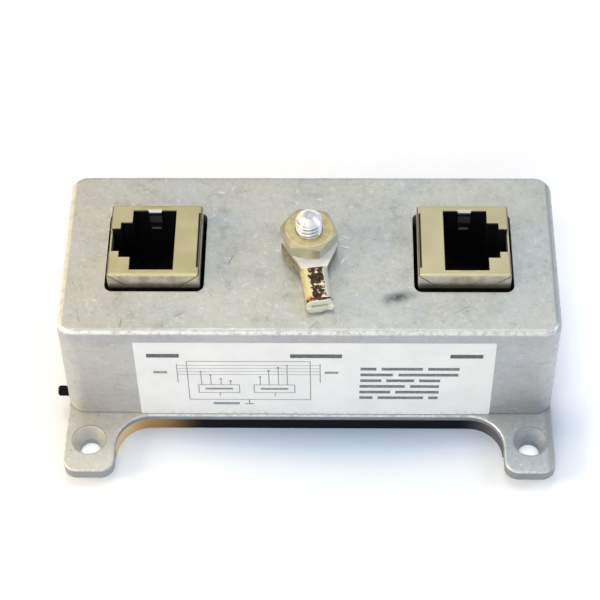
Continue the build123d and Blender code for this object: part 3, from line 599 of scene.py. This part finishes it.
def zinc_plate(name, dark, light, roughness, upright=None):
    """Zinc plating on steel: faint cloudy patches of a millimetre or so.

    With a colour for its upright faces it is the nut's: these faces are painted darker, as shade, the chamfer is
    painted lighter where it faces the front and right and duller where it faces the back and left, and a painted
    highlight runs round the front of its rim.
    """
    material, tree, shader = new_material(name)
    place = millimetres(tree)
    clouds = add(tree, "TexNoise", {"Vector": place, "Scale": 1 / 1.2, "Detail": 3.0, "Roughness": 0.55}).outputs[0]
    colour = two_tone(tree, clouds, dark, light)
    if upright:
        # Painted shade: the upright faces darker
        colour = add(tree, "Mix", {0: lying_flat(tree), 6: tint(upright), 7: colour}, data_type="RGBA").outputs[2]
        normal_at = add(tree, "SeparateXYZ", {0: add(tree, "NewGeometry").outputs["Normal"]})
        # Painted light and shade on the chamfer: lighter where it faces front and right
        slanted = stretch_of(tree, normal_at.outputs[2], 0.6, 0.97, 0.01)
        toward = add(tree, "MapRange", {
            0: add(tree, "Math", {0: normal_at.outputs[0], 1: normal_at.outputs[1]}, operation="SUBTRACT").outputs[0],
            1: -0.4, 2: 0.3,
        }, interpolation_type="SMOOTHSTEP").outputs[0]
        rubbed = add(tree, "Mix", {0: toward, 6: tint("#B9B18C"), 7: tint("#D9D1AC")}, data_type="RGBA").outputs[2]
        slanted = add(tree, "Math", {0: slanted, 1: 0.7}, operation="MULTIPLY").outputs[0]
        at = add(tree, "SeparateXYZ", {0: place})
        out = from_axis(tree, at.outputs[0], at.outputs[1])
        # Painted highlight: a pale line round the front of the top's rim
        rim = add(tree, "Math", {
            0: stretch_of(tree, out, nut_rim_r - 0.12, nut_rim_r + 0.06, 0.05),
            1: add(tree, "Math", {0: normal_at.outputs[2], 1: 0.6}, operation="GREATER_THAN").outputs[0],
        }, operation="MULTIPLY").outputs[0]
        rim = fading_in(tree, rim, at.outputs[1], 0.5, -1.5, 0.0, 0.6)
        colour = layered(tree, colour, [(slanted, rubbed), (rim, tint("#F2ECD4"))])
    finish_shader(
        tree, shader, Base_Color=colour, Metallic=0.7,
        Roughness=add(tree, "MapRange", {
            0: clouds, 1: 0.3, 2: 0.7, 3: roughness, 4: roughness + 0.08,
        }, interpolation_type="SMOOTHSTEP").outputs[0],
        Normal=add(tree, "Bump", {
            "Height": add(tree, "TexNoise", {
                "Vector": place, "Scale": 1 / 0.3, "Detail": 2.0, "Roughness": 0.55,
            }).outputs[0],
            "Distance": 0.006 * MM,
        }).outputs[0],
    )
    return material


def rolled_thread():
    """Bright zinc on a rolled thread: silvery crests, painted shade in the grooves, and dull grey on the sheared tip.
    """
    material, tree, shader = new_material("bright_rolled_thread")
    place = millimetres(tree)
    at = add(tree, "SeparateXYZ", {0: place})
    out = from_axis(tree, at.outputs[0], at.outputs[1])
    clouds = add(tree, "TexNoise", {"Vector": place, "Scale": 1 / 0.7, "Detail": 3.0, "Roughness": 0.55}).outputs[0]
    crest = two_tone(tree, clouds, "#F0F1F3", "#FFFFFF")
    on_crest = add(tree, "MapRange", {
        0: out, 1: stud_r - 0.3, 2: stud_r - 0.08,
    }, interpolation_type="SMOOTHSTEP").outputs[0]
    cone = add(tree, "MapRange", {
        0: at.outputs[2], 1: stud_top - tip_height, 2: stud_top - tip_height + 0.2,
    }, interpolation_type="SMOOTHSTEP").outputs[0]
    top = add(tree, "Math", {0: at.outputs[2], 1: stud_top - 0.05}, operation="GREATER_THAN").outputs[0]
    tip_clouds = add(tree, "TexNoise", {
        "Vector": place, "Scale": 1 / 0.5, "Detail": 3.0, "Roughness": 0.55,
    }).outputs[0]
    sheared = two_tone(tree, tip_clouds, "#C6C8C6", "#E6E8E6")
    # Painted shade: grey in the grooves; the crests and the cone are silvery
    colour = layered(tree, tint("#9A9DA5"), [(on_crest, crest), (cone, crest), (top, sheared)])
    finish_shader(
        tree, shader, Base_Color=colour, Metallic=0.25, Roughness=0.25,
        Normal=add(tree, "Bump", {
            "Height": add(tree, "TexNoise", {
                "Vector": place, "Scale": 1 / 0.4, "Detail": 2.0, "Roughness": 0.55,
            }).outputs[0],
            "Distance": 0.01 * MM,
        }).outputs[0],
    )
    return material


def tinned_lug():
    """Tinned copper lug whose barrel was heated: white tin on the tongue, cream on the barrel's left, and
    brown-black scale in ragged blots half a millimetre across over the rest of its top. The tongue is painted olive
    at the left as the nut's shadow, and its cut sides are painted dark olive as shade.
    """
    material, tree, shader = new_material("tinned_copper_scaled")
    place = add(tree, "Mapping", {"Vector": millimetres(tree), "Rotation": (0, 0, radians(-lug_turn))}).outputs[0]
    at = add(tree, "SeparateXYZ", {0: place})
    across, along = at.outputs[0], at.outputs[1]
    clouds = add(tree, "TexNoise", {"Vector": place, "Scale": 1 / 1.0, "Detail": 3.0, "Roughness": 0.55}).outputs[0]
    tin = two_tone(tree, clouds, "#F4F4F1", "#FFFFFF")
    dull = two_tone(tree, clouds, "#7F7B5C", "#A39F80")
    # Painted shadow of the nut: the tongue's left part is olive
    edge = add(tree, "Math", {
        0: add(tree, "Math", {0: along, 1: barrel_start}, operation="ADD").outputs[0], 1: 0.4, 2: across,
    }, operation="MULTIPLY_ADD").outputs[0]
    in_nut_shadow = add(tree, "MapRange", {0: edge, 1: -1.65, 2: -2.2}, interpolation_type="SMOOTHSTEP").outputs[0]
    tin = add(tree, "Mix", {0: in_nut_shadow, 6: tin, 7: dull}, data_type="RGBA").outputs[2]
    # Painted shade: the cut sides dark olive
    side = two_tone(tree, clouds, "#6B6950", "#8C8B70")
    plate = add(tree, "Mix", {0: lying_flat(tree), 6: side, 7: tin}, data_type="RGBA").outputs[2]
    cream = add(tree, "Mix", {
        0: add(tree, "MapRange", {0: across, 1: -2.0, 2: -1.3}, interpolation_type="SMOOTHSTEP").outputs[0],
        6: tint("#C6BD8C"), 7: tint("#EDE0AE"),
    }, data_type="RGBA").outputs[2]
    cream = add(tree, "Mix", {
        0: patches(tree, place, 0.8, 0.4, 0.6, 0.0, 0.5), 6: cream, 7: tint("#EFE3AE"),
    }, data_type="RGBA").outputs[2]
    pinkish = add(tree, "Mix", {
        0: patches(tree, place, 0.6, 0.4, 0.6, detail=2.0), 6: tint("#F8ECE4"), 7: tint("#EEDDC0"),
    }, data_type="RGBA").outputs[2]
    pale = add(tree, "Mix", {0: clouds, 6: tint("#C6CDBE"), 7: tint("#DCE0D2")}, data_type="RGBA").outputs[2]
    in_middle = add(tree, "MapRange", {0: across, 1: -0.6, 2: -0.2}, interpolation_type="SMOOTHSTEP").outputs[0]
    on_right = add(tree, "MapRange", {0: across, 1: 1.2, 2: 1.5}, interpolation_type="SMOOTHSTEP").outputs[0]
    rust = spot(tree, place, (-1.35, -barrel_end + 1.15, barrel_top), 0.9, (0.75, 1.0, 0.3))
    lip = add(tree, "MapRange", {
        0: along, 1: -barrel_end + 0.75, 2: -barrel_end + 0.6,
    }, interpolation_type="SMOOTHSTEP").outputs[0]
    lip_shade = add(tree, "Mix", {0: clouds, 6: tint("#DADCCE"), 7: tint("#F4F5EC")}, data_type="RGBA").outputs[2]
    skin = layered(tree, cream, [(in_middle, pinkish), (on_right, pale), (rust, tint("#B9764A")), (lip, lip_shade)])
    on_barrel = add(tree, "MapRange", {
        0: along, 1: -barrel_start + 0.25, 2: -barrel_start - 0.1,
    }, interpolation_type="SMOOTHSTEP").outputs[0]

    blots = add(tree, "TexNoise", {
        "Vector": place, "Scale": 1 / 0.8, "Detail": 4.0, "Roughness": 0.6, "Distortion": 0.6,
    }).outputs[0]
    sway = add(tree, "Math", {
        0: add(tree, "TexNoise", {"Vector": place, "Scale": 1 / 0.9, "Detail": 1.0, "Roughness": 0.55}).outputs[0],
        1: 1.5, 2: -0.75,
    }, operation="MULTIPLY_ADD").outputs[0]
    ripple = add(tree, "Math", {
        0: add(tree, "TexNoise", {
            "Vector": add(tree, "Mapping", {"Vector": place, "Location": (7, 3, 0)}).outputs[0], "Scale": 1 / 0.4,
            "Detail": 2.0, "Roughness": 0.55,
        }).outputs[0],
        1: 0.9, 2: -0.45,
    }, operation="MULTIPLY_ADD").outputs[0]
    wobble = add(tree, "Math", {0: sway, 1: ripple}, operation="ADD").outputs[0]
    ragged = add(tree, "Math", {0: across, 1: wobble}, operation="ADD").outputs[0]
    shore = add(tree, "MapRange", {
        0: ragged, 1: -1.0, 2: -0.75, 3: -0.5, 4: 0.35,
    }, interpolation_type="SMOOTHSTEP").outputs[0]
    inner = add(tree, "MapRange", {
        0: ragged, 1: -0.35, 2: -0.05, 4: -0.29,
    }, interpolation_type="SMOOTHSTEP").outputs[0]
    outer = add(tree, "MapRange", {0: across, 1: 1.15, 2: 1.45, 4: -0.5}, interpolation_type="SMOOTHSTEP").outputs[0]
    ragged_along = add(tree, "Math", {0: wobble, 1: 0.6, 2: along}, operation="MULTIPLY_ADD").outputs[0]
    foot = add(tree, "MapRange", {
        0: ragged_along, 1: -barrel_end + 1.35, 2: -barrel_end + 1.1, 4: 0.5,
    }, interpolation_type="SMOOTHSTEP").outputs[0]
    neck = add(tree, "MapRange", {
        0: ragged_along, 1: -barrel_start - 0.4, 2: -barrel_start - 0.15, 4: 0.3,
    }, interpolation_type="SMOOTHSTEP").outputs[0]
    push = add(tree, "Math", {
        0: add(tree, "Math", {0: shore, 1: inner}, operation="ADD").outputs[0],
        1: add(tree, "Math", {
            0: outer, 1: add(tree, "Math", {0: foot, 1: neck}, operation="ADD").outputs[0],
        }, operation="ADD").outputs[0],
    }, operation="ADD").outputs[0]
    scale = add(tree, "MapRange", {
        0: add(tree, "Math", {0: blots, 1: push}, operation="ADD").outputs[0], 1: 0.475, 2: 0.515,
    }, interpolation_type="SMOOTHSTEP").outputs[0]
    fringe = add(tree, "Math", {0: wobble, 1: 0.3, 2: along}, operation="MULTIPLY_ADD").outputs[0]
    zone = stretch_of(tree, fringe, -barrel_end + 0.75, -barrel_start - 0.02, 0.08)
    top = add(tree, "MapRange", {
        0: at.outputs[2], 1: barrel_top - 0.8, 2: barrel_top - 0.4,
    }, interpolation_type="SMOOTHSTEP").outputs[0]
    burnt = add(tree, "Math", {
        0: add(tree, "Math", {0: scale, 1: zone}, operation="MULTIPLY").outputs[0], 1: top,
    }, operation="MULTIPLY").outputs[0]
    brown = add(tree, "Mix", {
        0: patches(tree, place, 0.5, 0.4, 0.6), 6: tint("#24180C"), 7: tint("#5C4022"),
    }, data_type="RGBA").outputs[2]
    colour = layered(tree, plate, [(on_barrel, skin), (burnt, brown)])
    metal = add(tree, "Math", {0: on_barrel, 1: 0.1, 2: 0.05}, operation="MULTIPLY_ADD").outputs[0]
    rough = add(tree, "Math", {0: burnt, 1: 0.3, 2: 0.4}, operation="MULTIPLY_ADD").outputs[0]
    normal = add(tree, "Bump", {
        "Height": add(tree, "TexNoise", {
            "Vector": place, "Scale": 1 / 0.5, "Detail": 3.0, "Roughness": 0.55,
        }).outputs[0],
        "Distance": 0.03 * MM,
    }).outputs[0]
    finish_shader(
        tree, shader, Base_Color=colour, Metallic=metal, Roughness=rough,
        Normal=add(tree, "Bump", {"Height": burnt, "Distance": 0.03 * MM, "Normal": normal}).outputs[0],
    )
    return material


def plain_finish(name, dark, light, size, roughness, metallic=0.0):
    """Inner pieces: two close shades in patches of the given size."""
    material, tree, shader = new_material(name)
    place = millimetres(tree)
    clouds = add(tree, "TexNoise", {"Vector": place, "Scale": 1 / size, "Detail": 2.0, "Roughness": 0.55}).outputs[0]
    finish_shader(
        tree, shader,
        Base_Color=add(tree, "Mix", {0: clouds, 6: tint(dark), 7: tint(light)}, data_type="RGBA").outputs[2],
        Metallic=metallic, Roughness=roughness,
    )
    return material


cast = die_cast_metal()
nylon = black_moulding()
nickel = nickel_sheet()
polyester = port_moulding()
gold = gold_contact()
film = sticker_film()
ink = printing_ink("black_transfer_ink", "#4E5055", "#76787E")
grey_ink = printing_ink("grey_transfer_ink", "#686A70", "#8C8E94")
faint_ink = printing_ink("thin_transfer_ink", "#8B8D92", "#A6A8AC")
zinc = zinc_plate("bright_zinc_plate", "#C9CACC", "#E6E7E8", 0.28)
stud_zinc = rolled_thread()
yellow_zinc = zinc_plate("yellow_zinc_plate", "#CFC08C", "#DDD0A4", 0.34, upright="#C6C5B0")
lug_tin = tinned_lug()
strap_tin = plain_finish("tinned_copper_strip", "#C9BC98", "#D8CFB2", 2.0, 0.35, 0.9)
laminate = plain_finish("green_board_laminate", "#1C5A34", "#236B3F", 3.0, 0.35)
tube_ceramic = plain_finish("pink_white_ceramic", "#E4DDD2", "#EFEAE2", 1.0, 0.3)
epoxy = plain_finish("black_epoxy_moulding", "#1A1A1C", "#242427", 1.0, 0.5)
fuse_body = plain_finish("white_ceramic_chip", "#D9D8D2", "#E4E3DE", 1.0, 0.4)
fish_paper = plain_finish("grey_insulating_paper", "#8F8268", "#9C9078", 2.0, 0.6)

looks = {
    "housing": cast,
    "base_cover": nylon,
    "cover_screws": zinc,
    "front_label": film,
    "left_socket_shield": nickel,
    "right_socket_shield": nickel,
    "left_socket_body": polyester,
    "right_socket_body": polyester,
    "left_contact_carrier": polyester,
    "right_contact_carrier": polyester,
    "left_contact_wires": gold,
    "right_contact_wires": gold,
    "circuit_board": laminate,
    "board_screws": zinc,
    "ground_stud": stud_zinc,
    "star_washer": zinc,
    "ground_strap": strap_tin,
    "ring_terminal": lug_tin,
    "flat_washer": zinc,
    "lock_washer": zinc,
    "ground_nut": yellow_zinc,
    "front_left_gas_tube": tube_ceramic,
    "front_right_gas_tube": tube_ceramic,
    "rear_left_gas_tube": tube_ceramic,
    "rear_right_gas_tube": tube_ceramic,
    "left_suppressor_array": epoxy,
    "right_suppressor_array": epoxy,
    "line_fuses": fuse_body,
    "insulating_sheet": fish_paper,
}
for name, material in looks.items():
    mesh = nodes[name].data
    mesh.materials.clear()
    mesh.materials.append(material)


def new_piece(name, shape, material, body):
    """Turns a bmesh in millimetres into a piece that rides on a body."""
    bmesh.ops.scale(shape, vec=(MM, MM, MM), verts=shape.verts)
    mesh = bpy.data.meshes.new(name)
    shape.to_mesh(mesh)
    shape.free()
    mesh.materials.append(material)
    piece = bpy.data.objects.new(name, mesh)
    bpy.context.scene.collection.objects.link(piece)
    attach(piece, body)
    return piece


def smooth(shape, limit):
    """Rounded faces shade smoothly, and edges sharper than the limit stay crisp."""
    for face in shape.faces:
        face.smooth = True
    for edge in shape.edges:
        if len(edge.link_faces) == 2 and edge.calc_face_angle() > limit:
            edge.smooth = False


def make_threaded_stud():
    """The ground stud, head down under the roof: a turned blank whose skin then follows the thread's helix."""
    shape = bmesh.new()
    steps_around, rows_per_turn = 72, 12
    root_flat, flank = 0.14, 0.72
    rows = round((stud_top - stud_head_top) / thread_pitch * rows_per_turn)
    profile = [(0, stud_head_low), (stud_head_r - 0.7, stud_head_low), (stud_head_r - 0.2, stud_head_low + 0.2),
               (stud_head_r, stud_head_low + 0.7), (stud_head_r, stud_head_top)]
    profile += [(stud_r, stud_head_top + (stud_top - stud_head_top) * i / rows) for i in range(rows + 1)]
    profile += [(tip_r * 0.9, stud_top), (tip_r * 0.45, stud_top), (0, stud_top)]
    line = [shape.verts.new((r, 0, z)) for r, z in profile]
    for a, b in zip(line, line[1:]):
        shape.edges.new((a, b))
    bmesh.ops.spin(
        shape, geom=shape.verts[:] + shape.edges[:], cent=(0, 0, 0), axis=(0, 0, 1), dvec=(0, 0, 0),
        angle=2 * pi, steps=steps_around, use_merge=True, use_duplicate=False,
    )
    bmesh.ops.remove_doubles(shape, verts=shape.verts, dist=0.0005)
    bmesh.ops.recalc_face_normals(shape, faces=shape.faces)
    for vert in shape.verts:
        x, y, z = vert.co
        at_radius = sqrt(x * x + y * y)
        if z <= stud_head_top + 0.01 or at_radius < stud_r - 0.1:
            continue
        phase = (z / thread_pitch - atan2(y, x) / (2 * pi)) % 1.0
        crest = max(0.0, min(1.0, (abs(phase - 0.5) * 2 - root_flat) / flank))
        radius = stud_r - 0.02 - thread_depth * (1 - crest)
        radius = min(radius, tip_r + (stud_r - tip_r) * (stud_top - z) / tip_height)
        vert.co.x, vert.co.y = x * radius / at_radius, y * radius / at_radius
    smooth(shape, radians(55))
    return shape


def wall_plane(shape):
    """Leans what was drawn upright at Y = 0 onto the label's drafted face."""
    face_y = -(base_depth / 2 + label_thickness)
    for vert in shape.verts:
        vert.co.y += face_y + (vert.co.z - flange_top) * tan(draft)


def bar(shape, left, right, low, high):
    """A printed bar between two corners on the label."""
    made = bmesh.ops.create_cube(shape, size=1.0)
    size = (right - left, ink_thickness, high - low)
    bmesh.ops.scale(shape, vec=size, verts=made["verts"])
    middle = ((left + right) / 2, -ink_thickness / 2, (low + high) / 2)
    bmesh.ops.translate(shape, vec=middle, verts=made["verts"])


def outline_bars(shape, left, right, low, high, line):
    """A printed rectangle, drawn as a line of the given width inside its corners."""
    bar(shape, left, right, high - line, high)
    bar(shape, left, right, low, low + line)
    bar(shape, left, left + line, low + line, high - line)
    bar(shape, right - line, right, low + line, high - line)


def make_bold_print():
    """Three headings, as plain bars."""
    shape = bmesh.new()
    low, high = 19.0, 19.95
    for left, right in ((-25.3, -20.2), (-2.9, 5.2), (22.0, 27.1)):
        bar(shape, left, right, low, high)
    wall_plane(shape)
    return shape


def make_row_print():
    """Six rows of print, each as a few plain bars that begin and end at other places than the next row's."""
    shape = bmesh.new()
    first_height, row_spacing, half_bar = 16.1, 1.56, 0.36
    rows = (
        ((8.1, 10.6), (11.4, 17.9), (18.7, 23.6)),
        ((8.1, 13.2), (14.1, 23.5)),
        ((8.1, 11.4), (12.2, 16.6), (17.4, 20.7)),
        ((8.0, 15.2), (16.0, 20.6)),
        ((8.0, 12.9), (13.7, 20.6)),
        ((8.0, 10.1), (10.9, 18.2), (19.0, 20.5)),
    )
    for row, bars in enumerate(rows):
        height = first_height - row * row_spacing
        for left, right in bars:
            bar(shape, left, right, height - half_bar, height + half_bar)
    wall_plane(shape)
    return shape


def make_fine_print():
    """A block diagram in thin lines: frame, two boxes, their leads and the ground mark."""
    shape = bmesh.new()
    fine = 0.15
    outline_bars(shape, -19.2, 0.3, 7.6, 18.1, fine)
    outline_bars(shape, -17.6, -11.0, 9.5, 11.8, fine)
    outline_bars(shape, -8.8, -2.2, 9.5, 11.8, fine)
    bar(shape, -16.5, -12.1, 10.4, 10.9)
    bar(shape, -7.7, -3.3, 10.4, 10.9)
    for height in (16.9, 16.1, 15.3, 14.5):
        bar(shape, -20.7, 1.7, height, height + fine * 0.6)
    for edge in (-20.8, 1.7):
        bar(shape, edge, edge + fine, 12.3, 17.4)
    for x, top in ((-17.1, 15.1), (-15.6, 14.2), (-14.0, 13.2), (-12.5, 12.6),
                   (-7.8, 13.7), (-6.4, 15.4), (-4.9, 16.2), (-3.5, 16.8)):
        bar(shape, x, x + fine, 11.8, top)
        bar(shape, x - 0.12, x + fine + 0.12, top, top + 0.35)
    for left, right in ((-24.5, -22.3), (2.5, 4.6)):
        bar(shape, left, right, 14.8, 15.4)
    for x in (-14.3, -5.5):
        bar(shape, x, x + fine, 8.6, 9.5)
    bar(shape, -9.7, -9.5, 6.6, 7.6)
    bar(shape, -10.3, -8.9, 6.35, 6.6)
    bar(shape, -15.4, -11.2, 6.3, 6.9)
    wall_plane(shape)
    return shape


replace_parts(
    new_piece("threaded_ground_stud", make_threaded_stud(), stud_zinc, "root"), "ground_stud"
)
new_piece("label_headings", make_bold_print(), ink, "root")
new_piece("label_rows", make_row_print(), grey_ink, "root")
new_piece("label_diagram", make_fine_print(), faint_ink, "root")

# Floor: white paper under the object. It shows white to the camera and in the metal's reflections, and keeps the
# object's shadow. A blue shadow is painted on it in front of the box, and it is painted brighter beside the right
# end and under the ears' holes.
floor_mesh = bpy.data.meshes.new("floor")
floor_shape = bmesh.new()
bmesh.ops.create_grid(floor_shape, x_segments=1, y_segments=1, size=3.0)
floor_shape.to_mesh(floor_mesh)
floor_shape.free()
floor = bpy.data.objects.new("floor", floor_mesh)
bpy.context.scene.collection.objects.link(floor)
paper = bpy.data.materials.new("white_paper_floor")
paper.use_nodes = True
tree = paper.node_tree
tree.nodes.clear()
path = add(tree, "LightPath")
seen = add(tree, "Math", {
    0: path.outputs["Is Camera Ray"], 1: path.outputs["Is Glossy Ray"],
}, operation="MAXIMUM").outputs[0]
seen = add(tree, "Math", {0: seen, 1: path.outputs["Is Transmission Ray"]}, operation="MAXIMUM").outputs[0]
place = millimetres(tree)
# Painted shadow in front of the box: a darker blue patch close to it and a wide faint one
shade = spot(tree, place, (6.5, -16.0, 0.0), 9.4, (0.175, 1.0, 1.0))
wide = spot(tree, place, (7.0, -18.0, 0.0), 25.0, (0.45, 1.0, 1.0))
painted_blue_shadow = add(tree, "Mix", {
    0: add(tree, "Math", {0: wide, 1: 0.5}, operation="MULTIPLY").outputs[0], 6: tint("#F4F6F9"), 7: tint("#D0E3F6"),
}, data_type="RGBA").outputs[2]
lit = add(tree, "BsdfDiffuse", {
    "Color": add(tree, "Mix", {0: shade, 6: painted_blue_shadow, 7: tint("#AFC8E8")}, data_type="RGBA").outputs[2],
})
# Painted light: the floor glows brighter beside the right end and under the ears' holes, and less in the painted
# shadow
beside = spot(tree, place, (64.0, 8.0, 0.0), 36.0, (1.0, 0.6, 1.0))
holes = add(tree, "Math", {
    0: spot(tree, place, (-ear_hole_x, -ear_hole_y, 0.0), 3.2),
    1: spot(tree, place, (ear_hole_x, -ear_hole_y, 0.0), 3.2),
}, operation="MAXIMUM").outputs[0]
level = add(tree, "MapRange", {
    0: add(tree, "Math", {
        0: shade, 1: add(tree, "Math", {0: wide, 1: 0.48}, operation="MULTIPLY").outputs[0],
    }, operation="MAXIMUM").outputs[0],
    1: 0.0, 2: 0.6, 3: 0.17, 4: 0.03,
}, interpolation_type="SMOOTHSTEP").outputs[0]
level = add(tree, "Math", {0: beside, 1: 0.4, 2: level}, operation="MULTIPLY_ADD").outputs[0]
level = add(tree, "Math", {0: holes, 1: 0.6, 2: level}, operation="MULTIPLY_ADD").outputs[0]
glow = add(tree, "Emission", {"Color": tint("#FFFFFF"), "Strength": level})
both = add(tree, "AddShader", {0: lit.outputs[0], 1: glow.outputs[0]})
choice = add(tree, "MixShader", {0: seen, 1: lit.outputs[0], 2: both.outputs[0]})
add(tree, "OutputMaterial", {"Surface": choice.outputs[0]})
floor_mesh.materials.append(paper)

# Room: soft white all round, a little warmer at the left and cooler at the right
room_level = 0.52
world = bpy.data.worlds.new("studio")
bpy.context.scene.world = world
world.use_nodes = True
tree = world.node_tree
tree.nodes.clear()
path = add(tree, "LightPath")
seen = add(tree, "Math", {
    0: path.outputs["Is Camera Ray"], 1: path.outputs["Is Transmission Ray"],
}, operation="MAXIMUM").outputs[0]
strength = add(tree, "Math", {0: seen, 1: 1 - room_level, 2: room_level}, operation="MULTIPLY_ADD").outputs[0]
way = add(tree, "SeparateXYZ", {0: add(tree, "TexCoord").outputs["Generated"]})
room = add(tree, "Mix", {
    0: add(tree, "MapRange", {0: way.outputs[0], 1: -0.35, 2: 0.35}, interpolation_type="SMOOTHSTEP").outputs[0],
    6: tint("#FFF9EE"), 7: tint("#E0EDFF"),
}, data_type="RGBA").outputs[2]
sky = add(tree, "Background", {
    "Color": add(tree, "Mix", {0: seen, 6: room, 7: tint("#FFFFFF")}, data_type="RGBA").outputs[2],
    "Strength": strength,
})
add(tree, "OutputWorld", {"Surface": sky.outputs[0]})


def soft_lamp(name, place, target, size, power, colour):
    """A large soft panel aimed at a point, in metres and watts."""
    lamp = bpy.data.lights.new(name, "AREA")
    lamp.shape = "SQUARE"
    lamp.size = size
    lamp.energy = power
    lamp.color = tint(colour)[:3]
    panel = bpy.data.objects.new(name, lamp)
    panel.location = place
    aim = Vector(target) - Vector(place)
    panel.rotation_euler = aim.to_track_quat("-Z", "Y").to_euler()
    bpy.context.scene.collection.objects.link(panel)


centre = (0, 0, 0.012)
soft_lamp("warm_left_panel", (-0.50, -0.14, 0.26), centre, 0.24, 1.8, "#FFE7C4")
soft_lamp("top_rear_panel", (-0.04, 0.14, 0.59), centre, 0.22, 0.7, "#FFFDF6")
soft_lamp("cool_right_panel", (0.46, 0.04, 0.34), centre, 0.24, 0.6, "#E4ECFF")
soft_lamp("front_panel", (-0.14, -0.50, 0.38), centre, 0.26, 0.68, "#FFFFFF")

# Camera: the photograph's angle, from a fit of the object's edges
azimuth, elevation, roll = radians(1.802), radians(52.653), radians(-1.2816)
focal_pixels, frame_pixels, sensor = 1876.76, 600, 36.0
camera_place = (0.004205, -0.185990, 0.256513)
forward = Vector((-sin(azimuth) * cos(elevation), cos(azimuth) * cos(elevation), -sin(elevation)))
level = Vector((cos(azimuth), sin(azimuth), 0))
above = level.cross(forward)
right = level * cos(roll) + above * sin(roll)
upward = above * cos(roll) - level * sin(roll)
lens = bpy.data.cameras.new("camera")
lens.sensor_width = sensor
lens.lens = focal_pixels / frame_pixels * sensor
lens.clip_start = 0.01
camera = bpy.data.objects.new("camera", lens)
turn = Matrix((right, upward, -forward)).transposed().to_4x4()
camera.matrix_world = Matrix.Translation(camera_place) @ turn
bpy.context.scene.collection.objects.link(camera)
bpy.context.scene.camera = camera
bpy.context.scene.view_settings.view_transform = "Standard"
